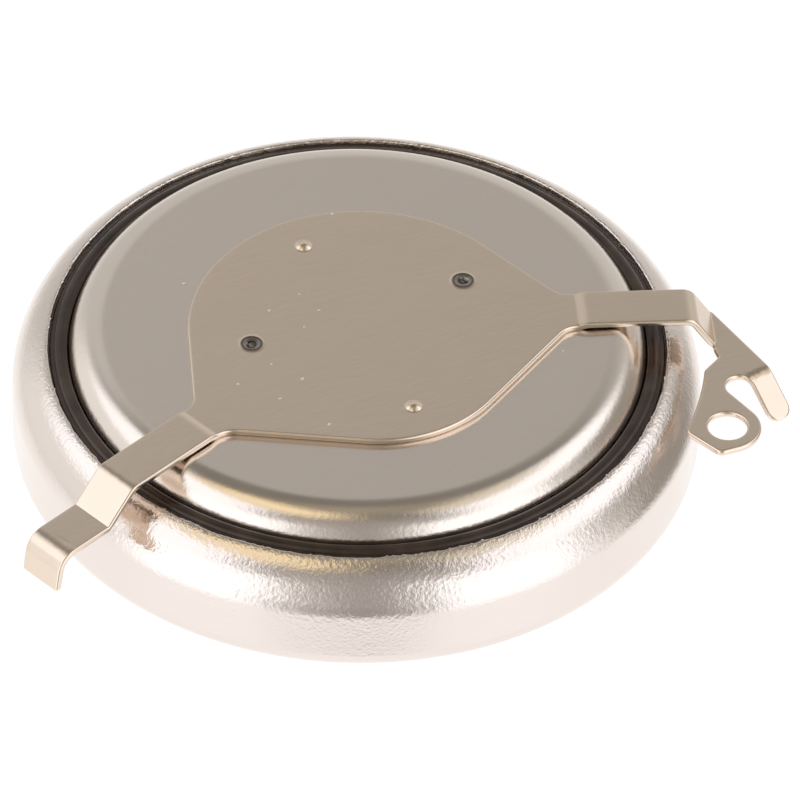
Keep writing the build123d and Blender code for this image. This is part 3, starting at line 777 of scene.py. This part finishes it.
def triangulated(loops, inner):
    """Triangles of a flat sheet between its loops and over the points inside, all facing up.

    Constrained Delaunay triangles, less those outside the outline or inside the hole. They count the
    points of the loops first, in order, and then the inner ones."""
    skin = np.concatenate([*loops, inner])
    edges, start = [], 0
    for loop in loops:
        here = start + np.arange(len(loop))
        edges += np.column_stack([here, np.roll(here, -1)]).tolist()
        start += len(loop)
    found = delaunay_2d_cdt([Vector(point) for point in skin.tolist()], edges, [], 0, SAME_PLACE)
    order = np.array([origin[0] for origin in found[3]])
    corners = order[np.array(found[2])]
    corners = corners[in_sheet(skin[corners].mean(axis=1), loops)]
    one, two = skin[corners[:, 1]] - skin[corners[:, 0]], skin[corners[:, 2]] - skin[corners[:, 0]]
    flip = one[:, 0] * two[:, 1] - one[:, 1] * two[:, 0] < 0
    corners[flip] = corners[flip][:, ::-1]
    return corners


def tab_mesh(size):
    """Points and triangles of the whole tab.

    The blank's outline is carried along a rounded edge section that joins an upper and a lower skin.
    Both skins share one triangulation of the outline and the lattice inside it."""
    paths = arm_paths(size)
    outline, hole, edge_end = blank_loops(size, paths)
    loops = [spaced(loop, EDGE_SPACING) for loop in (outline, hole)]
    miters = [inward_miters(loop) for loop in loops]
    inset_loops = [loop + miter * size.top_rounding for loop, miter in zip(loops, miters)]
    border, inward = np.concatenate(loops), np.concatenate(miters)
    inner = lattice(size, paths, inset_loops)
    corners = triangulated(inset_loops, inner)

    low = np.radians(np.linspace(-90, 0, EDGE_RINGS[0]))
    high = np.radians(np.linspace(0, 90, EDGE_RINGS[1]))
    inset = np.concatenate([size.bottom_rounding * (1 - np.cos(low)),
                            size.top_rounding * (1 - np.cos(high))])
    lifts = np.concatenate([size.bottom_rounding * (1 + np.sin(low)),
                            size.thickness - size.top_rounding * (1 - np.sin(high))])
    rim = (border[None] + inward[None] * inset[:, None, None]).reshape(-1, 2)
    skins = ((rim, np.repeat(lifts, len(border))),
             (inner, size.thickness + mark_heights(size, paths, inner)),
             (inner, np.zeros(len(inner))))
    points = np.concatenate([formed(size, paths, edge_end, flat, lift) for flat, lift in skins])

    count, within = len(border), np.arange(len(inner))
    to_upper = np.concatenate([len(rim) - count + np.arange(count), len(rim) + within])
    to_lower = np.concatenate([np.arange(count), len(rim) + len(inner) + within])
    walls, start = [], 0
    for loop in loops:
        wall = grid_triangles(len(lifts), len(loop), False)
        walls.append(wall // len(loop) * count + start + wall % len(loop))
        start += len(loop)
    return points, np.concatenate([to_upper[corners], to_lower[corners][:, ::-1], *walls])


# Lint

# Place of each speck across the cell and how far it reaches, in millimetres, and 1 where it lies on the
# plate
SPECKS = ((0.59, 2.13, 0.020, 1), (-1.83, 1.74, 0.022, 0), (-1.04, 0.66, 0.016, 1),
          (-0.41, 0.39, 0.014, 1), (-0.745, 0.16, 0.014, 1), (-2.05, -0.53, 0.018, 1),
          (-1.20, -0.79, 0.022, 1), (-1.65, -1.03, 0.016, 1), (-1.25, -1.77, 0.020, 1),
          (-0.52, 0.80, 0.012, 1), (-1.47, -0.35, 0.012, 1), (2.35, -1.62, 0.014, 0))
# Profile of a speck and how much its rings wander, as shares of its reach; the seed, the points round a
# speck and the knots of its wander; how much it is stretched; and how deep it sits, in millimetres
SPECK_PROFILE = np.array([(0, 0), (0.9, 0), (1, 0.25), (0.75, 0.6), (0.4, 0.8), (0, 0.85)])
SPECK_WANDER = 0.5 * np.array([1, 1, 0.7, 0.4])
LINT_SEED, SPECK_SEGMENTS, SPECK_KNOTS, SPECK_STRETCH, SPECK_SINK = 5, 14, 6, 0.5, 0.002


def lint_specks(cap_z, thickness):
    """Points and triangles of all specks of lint.

    Each is a low turned dome whose radius wanders round the ring, stretched along a direction of its own
    and set a little into the surface it lies on."""
    generator = np.random.default_rng(LINT_SEED)
    points, triangles, count = [], [], 0
    for x, y, reach, on_plate in SPECKS:
        wander = ring_noise(SPECK_SEGMENTS, SPECK_KNOTS, generator) - 0.5
        shift = (np.outer(SPECK_WANDER, reach * wander), 0)
        speck, faces = turned(reach * SPECK_PROFILE, SPECK_SEGMENTS, True, shift)
        turn = generator.random() * pi
        ahead = np.array([cos(turn), sin(turn)])
        speck[:, :2] += np.outer(speck[:, :2] @ ahead * SPECK_STRETCH, ahead)
        points.append(speck + [x, y, cap_z + on_plate * thickness - SPECK_SINK])
        triangles.append(faces + count)
        count += len(speck)
    return np.concatenate(points), np.concatenate(triangles)


# Materials

# Heights on the piece, in millimetres, between which a grain grows in: up the can's side, up to its lip,
# and down the cap's shoulder
UP_THE_SIDE, UP_TO_THE_LIP, DOWN_THE_SHOULDER = (0.7, 1.25), (1.64, 1.70), (2.045, 1.88)
# Share of a grain's depth that is left where it hasn't grown in
LEAST_GRAIN = 0.25
# How much of its strength each finer octave of a grain keeps, and the range that most of a noise lies in
OCTAVE_SHARE, NOISE_RANGE = 0.55, (0.3, 0.7)
# Height of the strip's upper face, where each weld's tint is centred, and the radius that the tint's ramp
# spans, in millimetres
WELD_LEVEL, TINT_RADIUS = 2.15, 0.3


def add_node(tree, kind, settings=None, links=None):
    """Adds a shader node, sets its inputs and properties by name, and links sockets into its inputs.

    A ramp's stops are positions with colours, linear or in hex. A node given as a link stands for its
    first output."""
    node = tree.nodes.new("ShaderNode" + kind)
    for name, value in (settings or {}).items():
        if name == "stops":
            ramp = node.color_ramp
            ramp.elements[0].position, ramp.elements[1].position = value[0][0], value[-1][0]
            for position, _ in value[1:-1]:
                ramp.elements.new(position)
            for element, (_, shade) in zip(ramp.elements, value):
                element.color = (*(linear_colour(shade) if isinstance(shade, str) else shade), 1)
        elif isinstance(name, int) or name in node.inputs:
            node.inputs[name].default_value = value
        else:
            setattr(node, name, value)
    for name, source in (links or {}).items():
        socket = source.outputs[0] if isinstance(source, bpy.types.Node) else source
        tree.links.new(socket, node.inputs[name])
    return node


def new_material(name, base, metallic, roughness):
    """Material with one Principled shader, which has the colour, metallic and roughness on its sockets."""
    material = bpy.data.materials.new(name)
    material.use_nodes = True
    tree = material.node_tree
    shader = tree.nodes["Principled BSDF"]
    shader.inputs["Base Color"].default_value = (*base, 1)
    shader.inputs["Metallic"].default_value = metallic
    shader.inputs["Roughness"].default_value = roughness
    place = add_node(tree, "TexCoord").outputs["Object"]
    return material, tree, shader, place


def add_grain(tree, shader, place, layers):
    """Adds one bump layer on top of another, each a noise with sizes in millimetres.

    A layer has a spacing, a depth and a detail. It may have a stretch, and the two heights on the piece
    between which it grows in. The bump's height is the noise times the depth."""
    normal = None
    for layer in layers:
        at = place
        if "stretch" in layer:
            at = add_node(tree, "Mapping", {"Scale": layer["stretch"]}, {"Vector": place})
        noise = add_node(tree, "TexNoise", {"Scale": METRE / layer["spacing"], "Detail": layer["detail"],
                                            "Roughness": OCTAVE_SHARE}, {"Vector": at})
        links = {"Height": noise.outputs["Fac"]}
        if "grows" in layer:
            low, high = layer["grows"]
            level = add_node(tree, "SeparateXYZ", links={0: place}).outputs["Z"]
            links["Strength"] = add_node(tree, "MapRange", {
                "interpolation_type": "SMOOTHSTEP", "From Min": low / METRE, "From Max": high / METRE,
                "To Min": LEAST_GRAIN}, {"Value": level})
        if normal:
            links["Normal"] = normal
        normal = add_node(tree, "Bump", {"Distance": layer["depth"] / METRE}, links)
    tree.links.new(normal.outputs["Normal"], shader.inputs["Normal"])


def vary_roughness(tree, shader, place, spacing, low, high):
    """Lets the roughness drift between two values, as handling and plating leave it."""
    noise = add_node(tree, "TexNoise", {"Scale": METRE / spacing, "Detail": 3}, {"Vector": place})
    drift = add_node(tree, "MapRange", {"From Min": NOISE_RANGE[0], "From Max": NOISE_RANGE[1],
                                        "To Min": low, "To Max": high}, {"Value": noise.outputs["Fac"]})
    tree.links.new(drift.outputs["Result"], shader.inputs["Roughness"])


def vary_colour(tree, shader, place, spacing, stops):
    """Lets the colour drift along a ramp by a noise, whose spacing is in millimetres."""
    noise = add_node(tree, "TexNoise", {"Scale": METRE / spacing, "Detail": 4}, {"Vector": place})
    shade = add_node(tree, "ValToRGB", {"stops": stops}, {"Fac": noise.outputs["Fac"]})
    tree.links.new(shade.outputs["Color"], shader.inputs["Base Color"])


def plated_can(finishes):
    """Nickel-plated steel, deep drawn and rolled: the stretched grain leaves an orange peel that breaks
    highlights into sparks.

    Its waves are 0.55 and 0.15 mm apart. The steel's own grain, a few hundredths of a millimetre, is
    drawn at 0.05 mm, as coarse as it needs to show. It is roughest at the cut lip."""
    name = "deep_drawn_nickel_plated_steel"
    material, tree, shader, place = new_material(name, finishes.can_plating, metallic=1, roughness=0.20)
    add_grain(tree, shader, place, [
        {"spacing": 0.55, "depth": 0.0065, "detail": 2, "grows": UP_THE_SIDE},
        {"spacing": 0.15, "depth": 0.0034, "detail": 2, "grows": UP_THE_SIDE},
        {"spacing": 0.055, "depth": 0.0052, "detail": 2, "grows": UP_THE_SIDE},
        {"spacing": 0.05, "depth": 0.0090, "detail": 2, "grows": UP_TO_THE_LIP}])
    vary_roughness(tree, shader, place, spacing=1.4, low=0.13, high=0.20)
    return material


def plated_cap(finishes):
    """Nickel-plated steel, pressed: a soft gloss, smoother than the can's, with a grain that is strongest
    where the shoulder is bent.

    Its waves are 0.7 mm apart, and the steel's grain is drawn at 0.07 mm, so that it shows."""
    name = "pressed_nickel_plated_steel"
    material, tree, shader, place = new_material(name, finishes.cap_plating, metallic=1, roughness=0.18)
    add_grain(tree, shader, place, [
        {"spacing": 0.70, "depth": 0.0045, "detail": 2, "grows": DOWN_THE_SHOULDER},
        {"spacing": 0.07, "depth": 0.0038, "detail": 3, "grows": DOWN_THE_SHOULDER}])
    vary_roughness(tree, shader, place, spacing=1.1, low=0.15, high=0.22)
    return material


def rolled_strip(finishes, welds):
    """Rolled nickel strip: a silky sheen with faint rolling lines, and blue-grey heat tint with a burnt
    pit at each spot weld.

    The lines are 0.07 mm apart, coarser than the rolls leave them, so that they show. The tint is a ramp
    by the distance to the nearest weld."""
    material, tree, shader, place = new_material("rolled_nickel_strip", finishes.strip_metal,
                                                 metallic=1, roughness=0.21)
    add_grain(tree, shader, place, [
        {"spacing": 0.80, "depth": 0.0030, "detail": 2},
        {"spacing": 0.07, "depth": 0.0012, "detail": 3, "stretch": (0.3, 1, 1)}])
    vary_roughness(tree, shader, place, spacing=0.9, low=0.18, high=0.25)
    centres = [np.array([*weld, WELD_LEVEL]) / METRE for weld in welds]
    distances = [add_node(tree, "VectorMath", {"operation": "DISTANCE", 1: centre},
                          {0: place}).outputs["Value"] for centre in centres]
    nearest = add_node(tree, "Math", {"operation": "MINIMUM"}, {0: distances[0], 1: distances[1]})
    share = add_node(tree, "Math", {"operation": "MULTIPLY", 1: METRE / TINT_RADIUS}, {0: nearest})
    tint = add_node(tree, "ValToRGB", {"stops": [
        (0.0, "8F8A8C"), (0.13, "6A5F5E"), (0.20, "4A3F3E"), (0.28, "A09A96"), (0.38, finishes.weld_tint),
        (0.47, "6B625B"), (0.56, finishes.strip_metal)]}, {"Fac": share})
    tree.links.new(tint.outputs["Color"], shader.inputs["Base Color"])
    return material


def moulded_gasket(finishes):
    """Polypropylene, injection moulded: dull dark brown with a soft waxy sheen.

    Its surface rolls gently, 0.35 mm apart, with the mould's fine texture drawn at 0.06 mm."""
    material, tree, shader, place = new_material("moulded_polypropylene", finishes.gasket_plastic,
                                                 metallic=0, roughness=0.21)
    shader.inputs["IOR"].default_value = 1.49
    add_grain(tree, shader, place, [{"spacing": 0.35, "depth": 0.0015, "detail": 2},
                                    {"spacing": 0.06, "depth": 0.0006, "detail": 3}])
    vary_colour(tree, shader, place, spacing=0.5,
                stops=[(0.32, "2C211A"), (0.52, finishes.gasket_plastic), (0.76, "4E3F36")])
    return material


def matt_material(name, shade, dark, spacing, depth, roughness):
    """Matt speckled surface: two colours mixed by a noise, with a bump of the same grain, sized in
    millimetres."""
    material, tree, shader, place = new_material(name, shade, metallic=0, roughness=roughness)
    vary_colour(tree, shader, place, spacing, [(0.35, dark), (0.65, shade)])
    add_grain(tree, shader, place, [{"spacing": spacing, "depth": depth, "detail": 4}])
    return material


# Operators


class BuildCan(bpy.types.Operator):
    """Builds the drawn can with its rolled edge and ragged lip"""

    bl_idname = "coin_cell.build_can"
    bl_label = "Can"

    def execute(self, context):
        size = cell_sizes(context)
        profile, share = can_profile(size)
        points, triangles = turned(profile, CAN_SEGMENTS, True, lip_burr(size, share))
        points[:, 2] = np.minimum(points[:, 2], size.can_height)
        material = plated_can(context.scene.coin_cell_finishes)
        add_piece("can_shell", (points, triangles), material, "positive_can")
        return {"FINISHED"}


class BuildGasket(bpy.types.Operator):
    """Builds the moulded gasket that shows as a dark ring"""

    bl_idname = "coin_cell.build_gasket"
    bl_label = "Gasket"

    def execute(self, context):
        shape = turned(gasket_profile(cell_sizes(context)), RING_SEGMENTS, False)
        material = moulded_gasket(context.scene.coin_cell_finishes)
        add_piece("gasket_ring", shape, material, "sealing_gasket")
        return {"FINISHED"}


class BuildCap(bpy.types.Operator):
    """Builds the pressed cap with its rounded shoulder and stepped skirt"""

    bl_idname = "coin_cell.build_cap"
    bl_label = "Cap"

    def execute(self, context):
        shape = turned(cap_profile(cell_sizes(context)), RING_SEGMENTS, True)
        material = plated_cap(context.scene.coin_cell_finishes)
        add_piece("cap_dome", shape, material, "negative_cap")
        return {"FINISHED"}


class BuildTab(bpy.types.Operator):
    """Stamps the tab's blank, marks it, and forms its arms, lug and finger"""

    bl_idname = "coin_cell.build_tab"
    bl_label = "Terminal Tab"

    def execute(self, context):
        size = tab_sizes(context)
        material = rolled_strip(context.scene.coin_cell_finishes, mark_places(size)[0])
        add_piece("terminal_tab_strip", tab_mesh(size), material, "terminal_tab")
        return {"FINISHED"}


class ScatterLint(bpy.types.Operator):
    """Scatters the specks of lint that lie on the plate and the cap"""

    bl_idname = "coin_cell.scatter_lint"
    bl_label = "Lint"

    def execute(self, context):
        size = tab_sizes(context)
        finishes = context.scene.coin_cell_finishes
        # Cotton lint, torn off a cloth: pale matt fluff that stays bright from every side
        lint = matt_material("torn_cotton_lint", finishes.dust, "CFC8BD",
                             spacing=0.02, depth=0.002, roughness=0.95)
        add_piece("lint_specks", lint_specks(size.tab_z, size.thickness), lint)
        return {"FINISHED"}


class DressContents(bpy.types.Operator):
    """Gives the pieces inside the cell their materials"""

    bl_idname = "coin_cell.dress_contents"
    bl_label = "Contents"

    def execute(self, context):
        finishes = context.scene.coin_cell_finishes
        # Carbon paint, sprayed on: near black, with a satin speckle of its dried droplets
        carbon = matt_material("sprayed_carbon_paint", finishes.carbon, "161617",
                               spacing=0.12, depth=0.004, roughness=0.65)
        # Carbon powder, pressed: dull and dark, with the powder's crumbs left in its face
        powder = matt_material("pressed_carbon_powder", finishes.powder, "1D1C1B",
                               spacing=0.09, depth=0.010, roughness=0.85)
        # Glass-fibre paper, laid wet: chalky and pale, with the clumps of its fibres
        paper = matt_material("laid_glass_fibre_paper", finishes.fibre, "C9C4BA",
                              spacing=0.15, depth=0.012, roughness=0.90)
        for node, material in (("positive_collector", carbon), ("negative_collector", carbon),
                               ("positive_electrode", powder), ("negative_electrode", powder),
                               ("separator", paper)):
            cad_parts[node].data.materials.clear()
            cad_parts[node].data.materials.append(material)
        return {"FINISHED"}


class BuildStage(bpy.types.Operator):
    """Builds the floor, the soft studio light and the camera"""

    bl_idname = "coin_cell.build_stage"
    bl_label = "Stage"

    def execute(self, context):
        scene = context.scene
        build_floor(scene.coin_cell_finishes.floor)
        light_world(scene)
        place_camera(scene)
        scene.view_settings.view_transform = "Standard"
        return {"FINISHED"}


# Stage

# Where the photograph is taken from: azimuth, elevation and roll in degrees, and distance in metres
VIEW_AZIMUTH, VIEW_ELEVATION, VIEW_ROLL, VIEW_DISTANCE = -116, 42.5, 1.42, 0.150
# How far the camera is moved right and up from there, in metres, to frame the cell as photographed
FRAME_SHIFT = (0.000616, 0.0004785)
# The camera's sensor and lens in millimetres, and the nearest and farthest it sees in metres
SENSOR, LENS, CLIP = 36, 486.7, (0.001, 10)
# The floor in millimetres: how far below the cell it lies, its rings near the cell and far from it, and the
# points on each
FLOOR_GAP, NEAR_RINGS, FAR_RINGS, FLOOR_SEGMENTS = 0.002, (0.5, 20, 12), (30, 900, 12), 96
# How much of the floor that the camera sees is its own glow, and how bright that is
GLOW_SHARE, GLOW_STRENGTH = 0.80, 1.13
# Brightness of the sky by elevation in degrees: the lit floor, the pale horizon and the dim ceiling
SKY = ((-90, (1.10, 1.08, 1.05)), (-45, (1.12, 1.10, 1.08)), (-24, (1.04, 1.02, 0.99)),
       (-8, (0.70, 0.68, 0.65)), (24, (0.64, 0.62, 0.58)), (38, (0.50, 0.48, 0.45)),
       (46, (0.42, 0.40, 0.37)), (58, (0.25, 0.235, 0.21)), (72, (0.23, 0.21, 0.175)),
       (90, (0.42, 0.37, 0.29)))
# Soft boxes and flags round the cell. Each has its azimuth from the camera and half width, its elevation
# and half height, the widths of its soft edges, all in degrees, and the light's red, green and blue
LAMPS = (
    ("pale wall on the left", -100, 34, 6, 20, 20, 14, (0.94, 0.92, 0.88)),
    ("low left soft box", -47, 25, -4, 34, 18, 14, (1.44, 1.44, 1.46)),
    ("low right soft box", 48, 25, -4, 34, 20, 14, (1.44, 1.44, 1.46)),
    ("high left soft box", -82, 44, 39, 17, 22, 14, (1.33, 1.32, 1.35)),
    ("high right soft box", 86, 42, 42, 18, 24, 20, (1.36, 1.35, 1.38)),
    ("gold fringe of the left box", -50, 42, 66, 11, 44, 18, (1.16, 0.96, 0.62)),
    ("warm fringe of the right box", 80, 38, 64, 8, 30, 16, (0.84, 0.76, 0.60)),
    ("shaded floor before the camera", 0, 25, -27, 12, 28, 12, (0.56, 0.53, 0.50)),
    ("flag before the camera", 5, 10, 8, 46, 32, 14, (0.36, 0.335, 0.315)),
    ("flag behind the low right box", 114, 22, -6, 28, 26, 16, (0.36, 0.33, 0.29)),
    ("flag behind the left box", -158, 16, 26, 24, 20, 14, (0.62, 0.60, 0.57)),
)


def build_floor(shade):
    """Round white floor just under the cell: rings of points about a middle one.

    Camera, glossy and transmission rays see it nearly self-lit, so it is white in the picture, and the
    rest of it is matt, so it keeps the cell's soft shadow. Metal doesn't reflect it, because the sky's
    lower half stands for it there. From beneath it is clear."""
    radius = np.concatenate([np.linspace(*NEAR_RINGS), np.linspace(*FAR_RINGS)])
    turn = np.linspace(0, 2 * pi, FLOOR_SEGMENTS, endpoint=False)
    points = np.stack([np.outer(radius, np.cos(turn)), np.outer(radius, np.sin(turn)),
                       np.full((len(radius), FLOOR_SEGMENTS), -FLOOR_GAP)], -1).reshape(-1, 3)
    here = np.arange(FLOOR_SEGMENTS)
    fan = np.column_stack([np.full(FLOOR_SEGMENTS, len(points)), here, np.roll(here, -1)])
    triangles = np.concatenate([grid_triangles(len(radius), FLOOR_SEGMENTS, False)[:, ::-1], fan])
    points = np.concatenate([points, [[0, 0, -FLOOR_GAP]]])
    mesh = bpy.data.meshes.new("studio_floor")
    mesh.from_pydata((points / METRE).tolist(), [], triangles.tolist())
    floor = bpy.data.objects.new("studio_floor", mesh)
    bpy.context.scene.collection.objects.link(floor)
    floor.visible_glossy = False
    material, tree, shader, _ = new_material("white_paper_sweep", shade, metallic=0, roughness=0.9)
    path = add_node(tree, "LightPath")
    seen = path.outputs["Is Camera Ray"]
    for kind in ("Is Glossy Ray", "Is Transmission Ray"):
        seen = add_node(tree, "Math", {"operation": "MAXIMUM"}, {0: seen, 1: path.outputs[kind]})
    share = add_node(tree, "Math", {"operation": "MULTIPLY", 1: GLOW_SHARE}, {0: seen})
    glow = add_node(tree, "Emission", {"Color": (*shade, 1), "Strength": GLOW_STRENGTH})
    mixed = add_node(tree, "MixShader", {}, {0: share, 1: shader, 2: glow})
    beneath = add_node(tree, "NewGeometry").outputs["Backfacing"]
    one_way = add_node(tree, "MixShader", {}, {0: beneath, 1: mixed, 2: add_node(tree, "BsdfTransparent")})
    tree.links.new(one_way.outputs[0], tree.nodes["Material Output"].inputs["Surface"])
    mesh.materials.append(material)


def light_world(scene):
    """Soft studio light as a sky that depends on direction alone.

    A ramp by elevation runs from the white floor over a pale horizon to a dim ceiling, and each lamp or
    flag is mixed over it by the product of two smooth steps, across and up. The camera sees white."""
    scene.world = bpy.data.worlds.new("soft_studio")
    scene.world.use_nodes = True
    tree = scene.world.node_tree
    look = add_node(tree, "TexCoord").outputs["Generated"]
    ahead, right = polar(1, VIEW_AZIMUTH), polar(1, VIEW_AZIMUTH + 90)
    forward, sideways = (add_node(tree, "VectorMath", {"operation": "DOT_PRODUCT", 1: (*axis, 0)},
                                  {0: look}).outputs["Value"] for axis in (ahead, right))
    azimuth = add_node(tree, "Math", {"operation": "ARCTAN2"}, {0: sideways, 1: forward})
    height = add_node(tree, "SeparateXYZ", {}, {0: look}).outputs["Z"]
    elevation = add_node(tree, "Math", {"operation": "ARCSINE"}, {0: height})
    share = add_node(tree, "Math", {"operation": "MULTIPLY_ADD", 1: 1 / pi, 2: 0.5}, {0: elevation})
    stops = [((rise + 90) / 180, tone) for rise, tone in SKY]
    result = add_node(tree, "ValToRGB", {"stops": stops}, {"Fac": share}).outputs["Color"]
    for name, middle, half_width, centre, half_height, soft_side, soft_end, tone in LAMPS:
        masks = []
        for source, place, half, soft in ((azimuth, middle, half_width, soft_side),
                                          (elevation, centre, half_height, soft_end)):
            off = add_node(tree, "Math", {"operation": "SUBTRACT", 1: radians(place)}, {0: source})
            off = add_node(tree, "Math", {"operation": "ABSOLUTE"}, {0: off})
            masks.append(add_node(tree, "MapRange", {
                "interpolation_type": "SMOOTHSTEP", "From Min": radians(half + soft / 2),
                "From Max": radians(half - soft / 2)}, {"Value": off}))
        inside = add_node(tree, "Math", {"operation": "MULTIPLY"}, {0: masks[0], 1: masks[1]})
        # Inputs 6 and 7 and output 2 are the two colours and the result of a colour mix
        result = add_node(tree, "Mix", {"data_type": "RGBA", "label": name, 7: (*tone, 1)},
                          {0: inside, 6: result}).outputs[2]
    seen = add_node(tree, "LightPath").outputs["Is Camera Ray"]
    white = add_node(tree, "Mix", {"data_type": "RGBA", 7: (1, 1, 1, 1)}, {0: seen, 6: result})
    tree.links.new(white.outputs[2], tree.nodes["Background"].inputs["Color"])


def place_camera(scene):
    """Long lens at the photograph's angle, looking down at the cell and rolled a little.

    Its axes are the direction back from the cell, a level one across it, and the one square to both,
    the last two turned by the roll."""
    rise = radians(VIEW_ELEVATION)
    back = Vector((*polar(cos(rise), VIEW_AZIMUTH), sin(rise)))
    level = Vector((*polar(1, VIEW_AZIMUTH + 90), 0))
    upright = back.cross(level)
    roll = radians(VIEW_ROLL)
    right = cos(roll) * level + sin(roll) * upright
    upward = cos(roll) * upright - sin(roll) * level
    data = bpy.data.cameras.new("photo_camera")
    data.sensor_width, data.lens = SENSOR, LENS
    data.clip_start, data.clip_end = CLIP
    camera = bpy.data.objects.new("photo_camera", data)
    place = back * VIEW_DISTANCE + right * FRAME_SHIFT[0] + upward * FRAME_SHIFT[1]
    camera.matrix_world = Matrix.Translation(place) @ Matrix((right, upward, back)).transposed().to_4x4()
    scene.collection.objects.link(camera)
    scene.camera = camera


class CoinCellPanel(bpy.types.Panel):
    """Lists the steps that build the coin cell"""

    bl_idname = "VIEW3D_PT_coin_cell"
    bl_label = "Coin Cell Capacitor"
    bl_space_type = "VIEW_3D"
    bl_region_type = "UI"
    bl_category = "Coin Cell"

    def draw(self, context):
        for operator in OPERATORS:
            self.layout.operator(operator.bl_idname)


OPERATORS = (BuildCan, BuildGasket, BuildCap, BuildTab, ScatterLint, DressContents, BuildStage)
CLASSES = (CellSizes, TabSizes, Finishes, *OPERATORS, CoinCellPanel)


def register():
    """Registers the classes and hangs the property groups on the scene."""
    for item in CLASSES:
        bpy.utils.register_class(item)
    bpy.types.Scene.coin_cell_sizes = PointerProperty(type=CellSizes)
    bpy.types.Scene.terminal_tab_sizes = PointerProperty(type=TabSizes)
    bpy.types.Scene.coin_cell_finishes = PointerProperty(type=Finishes)


def unregister():
    """Takes the property groups and classes away again."""
    for group in ("coin_cell_sizes", "terminal_tab_sizes", "coin_cell_finishes"):
        delattr(bpy.types.Scene, group)
    for item in reversed(CLASSES):
        bpy.utils.unregister_class(item)


def main():
    """Runs every step in order."""
    register()
    for operator in OPERATORS:
        group, step = operator.bl_idname.split(".")
        getattr(getattr(bpy.ops, group), step)()


if __name__ == "__main__":
    main()
